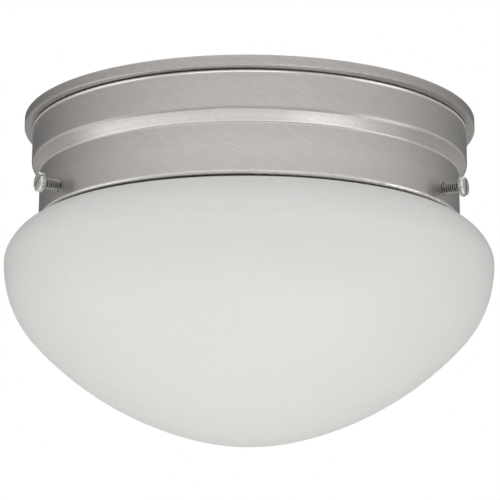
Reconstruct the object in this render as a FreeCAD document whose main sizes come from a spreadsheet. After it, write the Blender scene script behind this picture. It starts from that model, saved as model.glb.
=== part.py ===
import FreeCAD, Part
import math
import os

import Sketcher
from FreeCAD import Placement, Rotation, Vector

# A flush mount ceiling light: a stepped metal ring with a dished plate hangs from a strap on the
# outlet box, an opal glass shade is held in the ring by three thumbscrews, and two screw base
# lamps lie inside. Origin: centre of the ceiling plane, +Z up, so the light hangs below z = 0.
# The front is -Y. Every height below the ceiling is named as a depth.

SHEET_NAME = "Sizes"

# name, value in millimetres or degrees, what it is
DRIVING_SIZES = [
    # stepped ring
    ("lip_reach", 4.0, "how far the lip stands out from the upper band"),
    ("lip_height", 5.0, "height of the lip"),
    ("step_inset", 4.0, "how far the lower band is set in from the upper one"),
    ("step_top", 22.4, "depth where the slanted step starts"),
    ("fitter_radius", 101.8, "outside radius of the lower band"),
    ("step_bottom", 27.5, "depth where the slanted step ends"),
    ("rim_depth", 50.7, "depth of the curled lower rim"),
    ("rim_width", 2.0, "how far the rim is curled inwards"),
    ("ring_gauge", 0.6, "sheet of the ring"),
    ("lip_bend", 1.0, "outside radius of the lip's lower edge"),
    ("fold_depth", 1.5, "how far the fold under the lip reaches in from the upper band"),
    ("fold_gap", 0.3, "gap of the fold under the lip"),
    ("fold_bend", 0.7, "radius of the fold's bends inside the ring"),
    ("bead_stand", 0.4, "how far the bead below the fold stands out from the upper band"),
    ("bead_height", 0.6, "height of the bead"),
    ("bead_fade", 0.7, "height over which the bead runs out into the band"),
    ("bead_bend", 0.45, "rounding of the bead"),
    ("step_bend", 2.5, "outside radius of the step's upper bend"),
    ("crease_bend", 1.5, "inside radius of the step's lower bend"),
    ("rim_bend", 1.2, "outside radius of the rim's curl"),
    # plate
    ("plate_gauge", 0.8, "sheet of the plate"),
    ("plate_gap", 0.6, "room between the plate's edge and the lip's inner wall"),
    ("well_radius", 54.0, "radius of the plate's well at its floor"),
    ("well_draft", 4.0, "how much wider the well is at its top"),
    ("well_depth", 6.6, "depth of the well in the plate"),
    ("well_bend", 1.6, "outside radius of the well's bends"),
    ("bushing_y", 24.0, "distance of the wire hole from the centre"),
    ("wire_hole", 6.0, "radius of the wire hole"),
    ("keyhole_turn", 18.0, "turn between the wide and the narrow end of a keyhole, degrees"),
    ("keyhole_wide", 5.0, "radius of the keyhole's wide end"),
    # insulation
    ("pad_inner", 61.0, "inner radius of the insulation ring"),
    ("pad_margin", 4.6, "edge of the plate that the insulation ring leaves free"),
    ("pad_thick", 3.4, "thickness of the insulation ring"),
    ("pad_relief", 4.5, "radius of the holes that clear the rivet heads"),
    # strap and its screws
    ("strap_length", 108.0, "length of the mounting strap"),
    ("strap_width", 20.0, "width of the mounting strap"),
    ("strap_gauge", 1.5, "sheet of the mounting strap"),
    ("strap_corner", 4.0, "corner radius of the strap"),
    ("box_pitch", 88.9, "distance between the outlet box screws"),
    ("box_slot_length", 14.0, "length of a box screw slot, end to end"),
    ("box_slot_half", 2.5, "half width of a box screw slot"),
    ("strap_centre_hole", 5.2, "radius of the strap's centre hole"),
    ("mount_pitch", 60.0, "distance between the mounting screws"),
    ("mount_shank", 2.05, "radius of a mounting screw"),
    ("mount_head", 4.0, "radius of a mounting screw's head"),
    ("mount_head_height", 2.3, "height of a mounting screw's head"),
    ("earth_x", 17.0, "distance of the earth screw from the centre"),
    ("earth_shank", 2.35, "radius of the earth screw"),
    ("earth_head", 4.2, "corner radius of the earth screw's head"),
    ("earth_head_height", 2.6, "height of the earth screw's head"),
    ("thread_gap", 0.03, "radial gap between a screw and its tapped hole"),
    ("hole_gap", 0.25, "radial gap between a shank and a plain hole"),
    ("slot_width", 1.1, "width of a screwdriver slot"),
    ("slot_depth", 1.1, "depth of a screwdriver slot"),
    # wire bushing
    ("bushing_bore", 4.6, "bore radius of the wire bushing"),
    ("bushing_flange", 8.0, "flange radius of the wire bushing"),
    ("bushing_flange_thick", 1.2, "thickness of the bushing's flange"),
    ("bushing_lip", 6.5, "radius of the bushing's snap lip"),
    ("bushing_gap", 0.1, "radial gap between the bushing and its hole"),
    # thumbscrews and their nuts
    ("screw_rise", 7.3, "how far the thumbscrew axes are above the rim"),
    ("screw_first_turn", 90.0, "direction of the rear thumbscrew, degrees from +X"),
    ("screw_shank", 2.4, "thread radius of a thumbscrew"),
    ("screw_length", 14.0, "length of a thumbscrew under its head"),
    ("screw_point", 0.9, "length of the thumbscrew's chamfered point"),
    ("screw_point_radius", 1.5, "radius of the thumbscrew's flat tip"),
    ("screw_head", 4.6, "radius of a thumbscrew's knurled head"),
    ("screw_head_thick", 2.6, "thickness of a thumbscrew's head"),
    ("screw_head_edge", 0.5, "chamfer of a thumbscrew's head"),
    ("screw_wall_hole", 3.1, "radius of the thumbscrew holes in the ring"),
    ("nut_flats", 8.7, "width across flats of a thumbscrew's nut"),
    ("nut_thick", 3.0, "thickness of a thumbscrew's nut"),
    # glass shade
    ("glass_wall", 3.0, "wall of the glass"),
    ("shoulder_level", 4.0, "level ring between the neck and the shoulder's arcs"),
    ("glass_drop", 20.6, "how far the widest circle is below the rim"),
    ("shoulder_low", 14.3, "profile radius just above the widest circle"),
    ("shoulder_low_turn", 22.9, "where that arc ends, degrees above the horizontal"),
    ("shoulder_mid", 25.7, "profile radius of the shoulder"),
    ("shoulder_mid_turn", 66.0, "where that arc ends, degrees above the horizontal"),
    ("shoulder_top", 9.0, "profile radius where the shoulder turns level"),
    ("belly", 53.8, "profile radius below the widest circle"),
    ("belly_turn", 43.3, "where that arc ends, degrees below the horizontal"),
    ("flank", 158.0, "profile radius of the long flank"),
    ("flank_turn", 75.8, "where that arc ends, degrees below the horizontal"),
    ("neck_inset", 6.4, "how far the neck's waist is set in from the lower band"),
    ("waist_rise", 5.7, "how far the waist, where the flare starts, is above the rim"),
    ("neck_rise", 19.7, "how far the neck's upper edge is above the rim"),
    ("neck_flare", 0.16, "flare of the neck, millimetres outwards for each millimetre up"),
    ("neck_fillet", 3.0, "outside radius between neck and shoulder"),
    ("neck_edge", 1.2, "fire polished rounding of the neck's edge"),
    ("tip_gap", 0.3, "gap between a thumbscrew's tip and the neck"),
    # lampholders
    ("lamp_room", 3.0, "half the room between the two bulbs"),
    ("lamp_rise", 3.7, "how far the lamps' axes are above the rim"),
    ("holder_inset", 33.8, "distance of a lampholder's rear face from the lower band"),
    ("holder_length", 32.0, "length of a lampholder's body"),
    ("holder_waist", 17.5, "radius of the body's rear half"),
    ("holder_radius", 19.0, "radius of the body's collar"),
    ("holder_collar", 14.0, "where the collar starts, from the rear face"),
    ("holder_cone", 2.0, "length of the cone below the collar"),
    ("holder_floor", 7.0, "thickness of the body's floor"),
    ("holder_edge", 1.0, "rounding of the body's edges"),
    ("shell_inner", 13.6, "inner radius of the screw shell"),
    ("shell_gauge", 0.5, "sheet of the screw shell"),
    ("shell_gap", 0.4, "radial gap between the shell and the body's bore"),
    ("shell_setback", 1.0, "how far the shell ends below the mouth"),
    ("shell_window", 7.6, "radius of the hole in the shell's floor"),
    ("tongue_width", 6.0, "width of the centre contact"),
    ("tongue_gauge", 0.5, "sheet of the centre contact"),
    ("tongue_reach", 6.5, "length of the centre contact's foot on either side"),
    ("tongue_rise", 4.0, "height of the centre contact"),
    ("bracket_gauge", 1.2, "sheet of the lampholder brackets"),
    ("bracket_width", 22.0, "width of the lampholder brackets"),
    ("bracket_foot", 17.0, "length of the bracket's foot"),
    ("bracket_below", 13.0, "how far the bracket reaches below the lamp's axis"),
    ("bracket_bend", 2.0, "outside radius of the bracket's bend"),
    ("bracket_corner", 6.0, "corner radius at the bracket's lower end"),
    ("foot_rivet_spread", 6.0, "distance of a foot rivet from the bracket's middle"),
    ("foot_rivet_set", 10.0, "distance of the foot rivets from the upright"),
    ("body_rivet_spread", 10.6, "distance of a body rivet from the lamp's axis"),
    ("rivet_shank", 1.5, "radius of a rivet"),
    ("rivet_head", 2.7, "radius of a rivet's head"),
    ("rivet_head_height", 0.9, "height of a rivet's head"),
    ("rivet_gap", 0.1, "radial gap between a rivet and its hole"),
    # leads
    ("lead_radius", 1.2, "radius of a lead with its insulation"),
    ("lead_gap", 0.1, "radial gap between a lead and its hole"),
    ("lead_spread", 5.0, "distance of a lead from the middle of its lampholder"),
    ("lead_set", 8.0, "distance of the leads from the lampholder's rear face"),
    ("lead_entry", 4.0, "depth of the lead's hole in the lampholder"),
    ("lead_under", 2.5, "distance of a lead's line below the plate's well"),
    ("lead_pair", 1.75, "half distance between leads in the bushing"),
    ("lead_tail", 1.0, "how far a lead's end stands off the bottom of its hole"),
    ("lead_lift", 1.0, "how much higher than its line a lead turns at its lampholder"),
    ("lead_sag", 0.8, "how much lower than its line a lead turns below the bushing"),
    # lamps
    ("lamp_length", 110.0, "length of a lamp over all"),
    ("bulb_radius", 30.0, "radius of a lamp's bulb"),
    ("bulb_wall", 0.8, "wall of a lamp's bulb"),
    ("bulb_neck", 12.2, "radius of the bulb's neck inside the cap"),
    ("bulb_flare", 42.0, "profile radius between neck and bulb"),
    ("cap_radius", 13.1, "outside radius of the lamp's cap"),
    ("cap_gauge", 0.5, "sheet of the lamp's cap"),
    ("cap_length", 25.5, "height of the cap's upper edge above the lamp's tip"),
    ("cap_bottom", 4.2, "height of the cap's lower end above the lamp's tip"),
    ("cap_grip", 6.0, "how far the bulb's neck reaches into the cap"),
    ("insulator_foot", 5.4, "radius of the cap's insulator at the contact"),
    ("insulator_top", 10.4, "radius of the cap's insulator at the cap"),
    ("contact_radius", 4.4, "radius of the lamp's centre contact"),
    ("contact_height", 1.4, "height of the lamp's centre contact"),
    ("contact_gap", 0.3, "gap between the lamp's contact and the tongue"),
    ("stem_seal", 0.1, "radial gap where the stem's flare meets the bulb's neck"),
    ("stem_radius", 3.2, "radius of the stem's tube"),
    ("stem_height", 34.0, "length of the stem"),
    ("wire_radius", 0.4, "radius of a support wire"),
    ("wire_height", 22.0, "length of the support wires above the stem"),
    ("filament_radius", 0.8, "radius of the coiled filament"),
    ("filament_half", 12.0, "half length of the filament"),
]


class Size:
    """A number with the sheet expression that gives it, so that one formula does for both."""

    def __init__(self, value, text=None):
        self.value = float(value)
        self.text = text if text is not None else repr(float(value))

    def __add__(self, other):
        other = as_size(other)
        return Size(self.value + other.value, "(%s + %s)" % (self.text, other.text))

    def __radd__(self, other):
        return as_size(other) + self

    def __sub__(self, other):
        other = as_size(other)
        return Size(self.value - other.value, "(%s - %s)" % (self.text, other.text))

    def __rsub__(self, other):
        return as_size(other) - self

    def __mul__(self, other):
        other = as_size(other)
        return Size(self.value * other.value, "(%s * %s)" % (self.text, other.text))

    def __rmul__(self, other):
        return as_size(other) * self

    def __truediv__(self, other):
        other = as_size(other)
        return Size(self.value / other.value, "(%s / %s)" % (self.text, other.text))

    def __neg__(self):
        return Size(-self.value, "(0 - %s)" % self.text)


def as_size(number):
    return number if isinstance(number, Size) else Size(number)


def sine(turn):
    turn = as_size(turn)
    return Size(math.sin(math.radians(turn.value)), "sin(%s)" % turn.text)


def cosine(turn):
    turn = as_size(turn)
    return Size(math.cos(math.radians(turn.value)), "cos(%s)" % turn.text)


def root(number):
    return Size(math.sqrt(number.value), "sqrt(%s)" % number.text)


class SizeSheet:
    """The spreadsheet of driving sizes; each size is read as an attribute."""

    def __init__(self, doc):
        self.sheet = doc.addObject("Spreadsheet::Sheet", SHEET_NAME)
        self.sizes = {}
        for row, (name, value, meaning) in enumerate(DRIVING_SIZES, start=1):
            self.sheet.set("A%d" % row, meaning)
            self.sheet.set("B%d" % row, repr(value))
            self.sheet.setAlias("B%d" % row, name)
            self.sizes[name] = Size(value, "%s.%s" % (SHEET_NAME, name))
        doc.recompute()

    def derive(self, name, amount, meaning):
        """Keep a size that follows from the others in the sheet, under its own name."""
        row = len(self.sizes) + 1
        self.sheet.set("A%d" % row, meaning)
        self.sheet.set("B%d" % row, "=" + amount.text.replace(SHEET_NAME + ".", ""))
        self.sheet.setAlias("B%d" % row, name)
        self.sheet.recompute()
        self.sizes[name] = Size(amount.value, "%s.%s" % (SHEET_NAME, name))

    def __getattr__(self, name):
        return self.sizes[name]


doc = FreeCAD.newDocument("ceiling_light")
size = SizeSheet(doc)
pieces = []  # every finished sub-part, in the order it was made


# ---------------------------------------------------------------- modelling helpers


def new_body(label):
    """A body for one piece; its label names the piece's file."""
    body = doc.addObject("PartDesign::Body", label)
    body.Label = label
    pieces.append(body)
    return body


def origin_feature(body, role):
    for feature in body.Origin.OriginFeatures:
        if feature.Role == role:
            return feature
    raise ValueError("no origin feature " + role)


def new_sketch(body, role, lift=None):
    """A sketch on one of the body's origin planes, lifted off it if asked."""
    sketch = body.newObject("Sketcher::SketchObject", "Profile")
    sketch.AttachmentSupport = [(origin_feature(body, role), "")]
    sketch.MapMode = "FlatFace"
    if lift is not None:
        sketch.AttachmentOffset = Placement(Vector(0, 0, lift.value), Rotation())
        sketch.setExpression("AttachmentOffset.Base.z", lift.text)
    return sketch


def pin_point(sketch, element, end, x, y):
    """Hold a sketch point at x, y with constraints that follow the sheet."""
    for kind, place in (("DistanceX", x), ("DistanceY", y)):
        place = as_size(place)
        number = sketch.addConstraint(Sketcher.Constraint(kind, -1, 1, element, end, place.value))
        sketch.setExpression("Constraints[%d]" % number, place.text)


def arc_between(start, end, bend):
    """The arc from start to end; a positive bend keeps its centre on the left."""
    chord = end - start
    half = chord.Length / 2
    rise = math.sqrt(max(bend * bend - half * half, 0.0))
    left = Vector(-chord.y, chord.x, 0).normalize()
    centre = start + chord * 0.5 + left * math.copysign(rise, bend)
    first, last = (start, end) if bend > 0 else (end, start)
    turn_first = math.atan2(first.y - centre.y, first.x - centre.x)
    turn_last = math.atan2(last.y - centre.y, last.x - centre.x)
    if turn_last <= turn_first:
        turn_last += 2 * math.pi
    circle = Part.Circle(centre, Vector(0, 0, 1), abs(bend))
    return Part.ArcOfCircle(circle, turn_first, turn_last)


def trace(sketch, corners):
    """Close a profile through its corners: (x, y), or (x, y, bend) where an arc leaves."""
    places = [Vector(as_size(c[0]).value, as_size(c[1]).value, 0) for c in corners]
    bends = [as_size(c[2]) if len(c) > 2 else None for c in corners]
    first_element = sketch.GeometryCount
    ends = []
    for index, bend in enumerate(bends):
        start, end = places[index], places[(index + 1) % len(corners)]
        if bend is None:
            sketch.addGeometry(Part.LineSegment(start, end), False)
            ends.append((1, 2))
        else:
            sketch.addGeometry(arc_between(start, end, bend.value), False)
            ends.append((1, 2) if bend.value > 0 else (2, 1))
    for index, corner in enumerate(corners):
        element = first_element + index
        before = first_element + (index - 1) % len(corners)
        sketch.addConstraint(
            Sketcher.Constraint("Coincident", before, ends[index - 1][1], element, ends[index][0])
        )
        pin_point(sketch, element, ends[index][0], corner[0], corner[1])
    for index, bend in enumerate(bends):
        if bend is not None:
            hold_bend(sketch, first_element + index, places, index, bend)


def hold_bend(sketch, element, places, index, bend):
    """Give an arc its radius, or, where it is a half circle, the place of its centre."""
    start, end = places[index], places[(index + 1) % len(places)]
    if abs((end - start).Length - 2 * abs(bend.value)) > 1e-6:
        reach = bend if bend.value > 0 else -bend
        number = sketch.addConstraint(Sketcher.Constraint("Radius", element, reach.value))
        sketch.setExpression("Constraints[%d]" % number, reach.text)
        return
    kind = "Vertical" if abs(start.x - end.x) < 1e-6 else "Horizontal"
    sketch.addConstraint(Sketcher.Constraint(kind, element, 3, element, 1))


def trace_circle(sketch, x, y, radius):
    circle = Part.Circle(
        Vector(as_size(x).value, as_size(y).value, 0), Vector(0, 0, 1), radius.value
    )
    element = sketch.addGeometry(circle, False)
    number = sketch.addConstraint(Sketcher.Constraint("Radius", element, radius.value))
    sketch.setExpression("Constraints[%d]" % number, radius.text)
    pin_point(sketch, element, 3, x, y)


def trace_slot(sketch, x, y, length, half):
    """A slot along the sketch's X, its length from end to end."""
    reach = length / 2 - half
    trace(
        sketch,
        [
            (x - reach, y - half),
            (x + reach, y - half, half),
            (x + reach, y + half),
            (x - reach, y + half, half),
        ],
    )


def trace_box(sketch, left, right, bottom, top):
    trace(sketch, [(left, bottom), (right, bottom), (right, top), (left, top)])


def revolve(body, corners):
    """Turn a profile of (radius, height) corners about the body's Z axis."""
    sketch = new_sketch(body, "XZ_Plane")
    trace(sketch, corners)
    feature = body.newObject("PartDesign::Revolution", "Turned")
    feature.Profile = sketch
    feature.ReferenceAxis = (sketch, ["V_Axis"])
    feature.Angle = 360
    doc.recompute()
    return feature


def pad(body, sketch, length, both_ways=False, downwards=False):
    feature = body.newObject("PartDesign::Pad", "Pad")
    feature.Profile = sketch
    feature.setExpression("Length", length.text)
    feature.Midplane = both_ways
    feature.Reversed = downwards
    doc.recompute()
    return feature


def pocket(body, sketch, forwards=False, both_ways=False, depth=None):
    """Cut a sketch out of the body: to a depth, or all the way through."""
    before = body.Shape.Volume
    feature = body.newObject("PartDesign::Pocket", "Pocket")
    feature.Profile = sketch
    feature.Reversed = forwards
    feature.Midplane = both_ways
    if depth is None:
        feature.Type = 1
    else:
        feature.setExpression("Length", depth.text)
    doc.recompute()
    if feature.Shape.Volume >= before - 1e-6:
        raise RuntimeError("a pocket in %s cuts nothing" % body.Label)
    return feature


def turn_copies(body, features, count):
    """Repeat features about the body's Z axis."""
    pattern = body.newObject("PartDesign::PolarPattern", "Copies")
    pattern.Originals = features
    pattern.Axis = (origin_feature(body, "Z_Axis"), [""])
    pattern.Angle = 360
    pattern.Occurrences = count
    body.Tip = pattern
    doc.recompute()
    return pattern


def ring_edges(shape, rings):
    """Names of the circular edges about Z that have these radii and heights."""
    wanted = [(as_size(r).value, as_size(z).value) for r, z in rings]
    names = []
    for number, edge in enumerate(shape.Edges, start=1):
        if edge.Degenerated or not isinstance(edge.Curve, Part.Circle):
            continue
        curve = edge.Curve
        for radius, height in wanted:
            if abs(curve.Radius - radius) < 1e-4 and abs(curve.Center.z - height) < 1e-4:
                names.append("Edge%d" % number)
    return names


def round_rings(body, rings, radius):
    """Round the circular edges about Z that have these radii and heights."""
    return round_edges(body, ring_edges(body.Tip.Shape, rings), radius)


def round_edges(body, names, radius):
    if not names:
        raise RuntimeError("no edge to round in " + body.Label)
    base = body.Tip
    feature = body.newObject("PartDesign::Fillet", "Rounding")
    feature.Base = (base, names)
    feature.setExpression("Radius", as_size(radius).text)
    doc.recompute()
    return feature


def edges_along(shape, direction, test):
    """Names of the straight edges along a direction whose middle passes a test."""
    names = []
    for number, edge in enumerate(shape.Edges, start=1):
        if edge.Degenerated or not isinstance(edge.Curve, (Part.Line, Part.LineSegment)):
            continue
        run = edge.Vertexes[-1].Point - edge.Vertexes[0].Point
        if run.cross(direction).Length > 1e-6 * run.Length:
            continue
        if test(edge.CenterOfMass):
            names.append("Edge%d" % number)
    return names


def place(piece, x, y, z, rotation):
    """Put a finished piece where it belongs, its position tied to the sheet."""
    x, y, z = as_size(x), as_size(y), as_size(z)
    piece.Placement = Placement(Vector(x.value, y.value, z.value), rotation)
    piece.setExpression("Placement.Base.x", x.text)
    piece.setExpression("Placement.Base.y", y.text)
    piece.setExpression("Placement.Base.z", z.text)


def group(label, members):
    """Identical fasteners that share one file, each still its own solid."""
    compound = doc.addObject("Part::Compound", label)
    compound.Links = members
    compound.Label = label
    pieces.append(compound)
    doc.recompute()
    return compound


def cylinder(radius, height, x=0, y=0, z=0, rotation=Rotation()):
    solid = doc.addObject("Part::Cylinder", "Round")
    solid.setExpression("Radius", as_size(radius).text)
    solid.setExpression("Height", as_size(height).text)
    place(solid, x, y, z, rotation)
    return solid


def fuse(members):
    joined = doc.addObject("Part::MultiFuse", "Joined")
    joined.Shapes = members
    return joined


def cut(base, tool):
    result = doc.addObject("Part::Cut", "Bored")
    result.Base = base
    result.Tool = tool
    return result


ALONG_X = Rotation(Vector(0, 1, 0), 90)  # turns a piece's own Z to +X
ALONG_Y = Rotation(Vector(1, 0, 0), -90)  # turns a piece's own Z to +Y
HALF_TURN = Rotation(Vector(0, 0, 1), 180)


def turn_about_z(degrees):
    return Rotation(Vector(0, 0, 1), degrees)


# ---------------------------------------------------------------- shared heights and places

size.derive(
    "band_radius", size.fitter_radius + size.step_inset, "outside radius of the upper band"
)
size.derive(
    "lip_radius", size.band_radius + size.lip_reach, "outside radius of the lip at the ceiling"
)
size.derive(
    "neck_radius", size.fitter_radius - size.neck_inset, "radius of the glass neck at its waist"
)
size.derive(
    "shoulder_reach",
    size.shoulder_low
    + (size.shoulder_mid - size.shoulder_low) * cosine(size.shoulder_low_turn)
    + (size.shoulder_top - size.shoulder_mid) * cosine(size.shoulder_mid_turn),
    "how far the three arcs of the shoulder reach out together",
)
size.derive(
    "glass_radius",
    size.neck_radius + size.shoulder_level + size.shoulder_reach,
    "widest radius of the glass",
)
size.derive(
    "lamp_offset", size.bulb_radius + size.lamp_room, "distance of a lamp's axis from the middle"
)
size.derive(
    "holder_back",
    size.fitter_radius - size.holder_inset,
    "distance of a lampholder's rear face from the middle",
)
size.derive("screw_depth", size.rim_depth - size.screw_rise, "depth of the thumbscrew axes")
size.derive("glass_widest", size.rim_depth + size.glass_drop, "depth of the widest circle")
size.derive(
    "neck_waist", size.rim_depth - size.waist_rise, "depth of the waist, where the flare starts"
)
size.derive("neck_top", size.rim_depth - size.neck_rise, "depth of the neck's upper edge")
size.derive("lamp_depth", size.rim_depth - size.lamp_rise, "depth of the lamps' axes")
ring_inner = size.fitter_radius - size.ring_gauge  # inner radius of the lower band
plate_edge = size.lip_radius - size.ring_gauge - size.plate_gap
ledge = -size.lip_height + size.ring_gauge  # top of the lip's ledge, where the plate rests
plate_top = ledge + size.plate_gauge
well_floor = ledge - size.well_depth  # underside of the well
well_top = well_floor + size.plate_gauge  # upper side of the well's floor
screw_tip = (
    size.neck_radius
    + (size.neck_waist - size.screw_depth + size.screw_point_radius) * size.neck_flare
    + size.tip_gap
)  # radius at which a thumbscrew's tip stands when the shade is held
nut_outer = root(ring_inner * ring_inner - size.nut_flats * size.nut_flats / 4)
tongue_top = size.holder_floor + size.tongue_rise
lamp_tip = tongue_top + size.contact_gap  # lamp's tip, measured from the holder's rear face
lead_line = well_floor - size.lead_under
foot_top = ledge  # the bracket's foot lies against the plate's flange


# ---------------------------------------------------------------- stepped ring and plate


def make_canopy_ring():
    """The drawn ring: lip, fold and bead, upper band, step, lower band and curled rim."""
    body = new_body("canopy_ring")
    wall = size.ring_gauge
    drop = size.step_bottom - size.step_top
    inset = size.band_radius - size.fitter_radius
    slope = root(drop * drop + inset * inset)
    lift = wall * (slope - drop) / inset  # keeps the sheet's thickness round the step's bends
    fold = size.band_radius - size.fold_depth
    bead = size.band_radius + size.bead_stand
    bead_top = size.lip_height + size.fold_gap
    bead_low = bead_top + size.bead_height
    outer = [
        (size.lip_radius, 0),
        (size.lip_radius, -size.lip_height),
        (fold, -size.lip_height),
        (fold, -bead_top),
        (bead, -bead_top),
        (bead, -bead_low),
        (size.band_radius, -bead_low - size.bead_fade),
        (size.band_radius, -size.step_top),
        (size.fitter_radius, -size.step_bottom),
        (size.fitter_radius, -size.rim_depth),
        (size.fitter_radius - size.rim_width, -size.rim_depth),
    ]
    inner = [
        (size.fitter_radius - size.rim_width, wall - size.rim_depth),
        (size.fitter_radius - wall, wall - size.rim_depth),
        (size.fitter_radius - wall, lift - size.step_bottom),
        (size.band_radius - wall, lift - size.step_top),
        (size.band_radius - wall, -bead_top - wall),
        (fold - wall, -bead_top - wall),
        (fold - wall, ledge),
        (size.lip_radius - wall, ledge),
        (size.lip_radius - wall, 0),
    ]
    revolve(body, [(r, z) for r, z in reversed(outer)] + [(r, z) for r, z in reversed(inner)])
    round_rings(body, [outer[1]], size.lip_bend)
    round_rings(body, [inner[7]], size.lip_bend - wall)
    round_rings(body, [inner[4], inner[5], inner[6]], size.fold_bend)
    round_rings(body, [outer[4], outer[5], outer[6]], size.bead_bend)
    round_rings(body, [outer[7]], size.step_bend)
    round_rings(body, [inner[3]], size.step_bend - wall)
    round_rings(body, [inner[2]], size.crease_bend)
    round_rings(body, [outer[8]], size.crease_bend - wall)
    round_rings(body, [outer[9]], size.rim_bend)
    round_rings(body, [inner[1]], size.rim_bend - wall)
    holes = new_sketch(body, "XZ_Plane")
    trace_circle(holes, 0, -size.screw_depth, size.screw_wall_hole)
    hole = pocket(body, holes)
    turn_copies(body, [hole], 3)


def make_canopy_plate():
    """The dished plate on the lip's ledge, with wire hole, keyholes and rivet holes."""
    body = new_body("canopy_plate")
    gauge = size.plate_gauge
    well_mouth = size.well_radius + size.well_draft
    slope = root(size.well_depth * size.well_depth + size.well_draft * size.well_draft)
    shift = gauge * (slope - size.well_draft) / size.well_depth
    lower = [
        (0, well_floor),
        (size.well_radius, well_floor),
        (well_mouth, ledge),
        (plate_edge, ledge),
    ]
    upper = [
        (plate_edge, plate_top),
        (well_mouth - shift, plate_top),
        (size.well_radius - shift, well_top),
        (0, well_top),
    ]
    revolve(body, lower + upper)
    round_rings(body, [lower[1], upper[1]], size.well_bend)
    round_rings(body, [lower[2], upper[2]], size.well_bend - gauge)
    wire_hole = new_sketch(body, "XY_Plane")
    trace_circle(wire_hole, 0, size.bushing_y, size.wire_hole)
    pocket(body, wire_hole, both_ways=True)
    make_keyholes(body)
    rivets = new_sketch(body, "XY_Plane")
    for x, y in foot_rivet_places():
        trace_circle(rivets, x, y, size.rivet_shank + size.rivet_gap)
    pocket(body, rivets, both_ways=True)


def make_keyholes(body):
    """Two keyholes: the light is pushed over the screw heads and turned until they hold it."""
    arm = size.mount_pitch / 2
    wide_x = arm * cosine(size.keyhole_turn)
    wide_y = -arm * sine(size.keyhole_turn)
    wide = new_sketch(body, "XY_Plane")
    trace_circle(wide, wide_x, wide_y, size.keyhole_wide)
    wide_hole = pocket(body, wide, both_ways=True)
    half = size.mount_shank + size.hole_gap
    narrow = new_sketch(body, "XY_Plane")
    trace(
        narrow,
        [
            (wide_x - half, wide_y),
            (wide_x + half, wide_y),
            (arm + half, 0, half),
            (arm - half, 0),
        ],
    )
    narrow_hole = pocket(body, narrow, both_ways=True)
    turn_copies(body, [wide_hole, narrow_hole], 2)


def foot_rivet_places():
    """Where the four rivets of the two brackets go through the plate."""
    places = []
    for side in (-1, 1):
        for spread in (-1, 1):
            x = side * (size.holder_back + size.foot_rivet_set)
            y = -side * (size.lamp_offset + spread * size.foot_rivet_spread)
            places.append((x, y))
    return places


def make_insulation_pad():
    """The glass fibre ring between plate and ceiling, with holes over the rivet heads."""
    body = new_body("insulation_pad")
    ring = new_sketch(body, "XY_Plane", plate_top)
    trace_circle(ring, 0, 0, plate_edge - size.pad_margin)
    trace_circle(ring, 0, 0, size.pad_inner)
    pad(body, ring, size.pad_thick)
    reliefs = new_sketch(body, "XY_Plane")
    for x, y in foot_rivet_places():
        trace_circle(reliefs, x, y, size.pad_relief)
    pocket(body, reliefs, both_ways=True)


# ---------------------------------------------------------------- strap, screws, bushing


def make_mounting_strap():
    """The strap across the outlet box: box slots, tapped holes, centre hole and earth hole."""
    body = new_body("mounting_strap")
    half_length, half_width = size.strap_length / 2, size.strap_width / 2
    bar = new_sketch(body, "XY_Plane")
    trace_box(bar, -half_length, half_length, -half_width, half_width)
    pad(body, bar, size.strap_gauge, downwards=True)
    corners = edges_along(body.Tip.Shape, Vector(0, 0, 1), lambda middle: True)
    round_edges(body, corners, size.strap_corner)
    slots = new_sketch(body, "XY_Plane")
    for side in (-1, 1):
        trace_slot(slots, side * size.box_pitch / 2, 0, size.box_slot_length, size.box_slot_half)
        trace_circle(slots, side * size.mount_pitch / 2, 0, size.mount_shank + size.thread_gap)
    trace_circle(slots, 0, 0, size.strap_centre_hole)
    trace_circle(slots, size.earth_x, 0, size.earth_shank + size.thread_gap)
    pocket(body, slots)


def make_mounting_screws():
    """Two screws from the strap's tapped holes down through the keyholes, heads below."""
    members = []
    for side in (-1, 1):
        body = doc.addObject("PartDesign::Body", "MountingScrew")
        neck = -well_floor  # length of the shank from the strap's top to the plate's underside
        revolve(
            body,
            [
                (0, 0),
                (0, -neck - size.mount_head_height),
                (size.mount_head / 2, -neck - size.mount_head_height),
                (size.mount_head, -neck - size.mount_head_height / 2),
                (size.mount_head, -neck),
                (size.mount_shank, -neck),
                (size.mount_shank, 0),
            ],
        )
        slot = new_sketch(body, "XY_Plane", -neck - size.mount_head_height)
        trace_box(
            slot, -size.mount_head, size.mount_head, -size.slot_width / 2, size.slot_width / 2
        )
        pocket(body, slot, forwards=True, depth=size.slot_depth)
        place(body, side * size.mount_pitch / 2, 0, 0, Rotation())
        members.append(body)
    group("mounting_screws", members)


def make_earth_screw():
    """The hexagon headed earth screw in the strap."""
    shank = cylinder(size.earth_shank, size.strap_gauge)
    head = doc.addObject("Part::Prism", "Hexagon")
    head.Polygon = 6
    head.setExpression("Circumradius", size.earth_head.text)
    head.setExpression("Height", size.earth_head_height.text)
    place(shank, size.earth_x, 0, -size.strap_gauge, Rotation())
    place(head, size.earth_x, 0, -size.strap_gauge - size.earth_head_height, Rotation())
    screw = fuse([shank, head])
    screw.Label = "earth_screw"
    pieces.append(screw)


def make_wire_bushing():
    """The snap bushing that keeps the leads off the edge of the wire hole."""
    body = new_body("wire_bushing")
    barrel = size.wire_hole - size.bushing_gap
    flange_bottom = well_floor - size.bushing_flange_thick
    lip_top = well_top + size.bushing_flange_thick
    revolve(
        body,
        [
            (size.bushing_bore, flange_bottom),
            (size.bushing_flange, flange_bottom),
            (size.bushing_flange, well_floor),
            (barrel, well_floor),
            (barrel, well_top),
            (size.bushing_lip, well_top),
            (barrel, lip_top),
            (size.bushing_bore, lip_top),
        ],
    )
    round_rings(body, [(size.bushing_bore, flange_bottom)], size.bushing_flange_thick / 2)
    place(body, 0, size.bushing_y, 0, Rotation())


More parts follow.
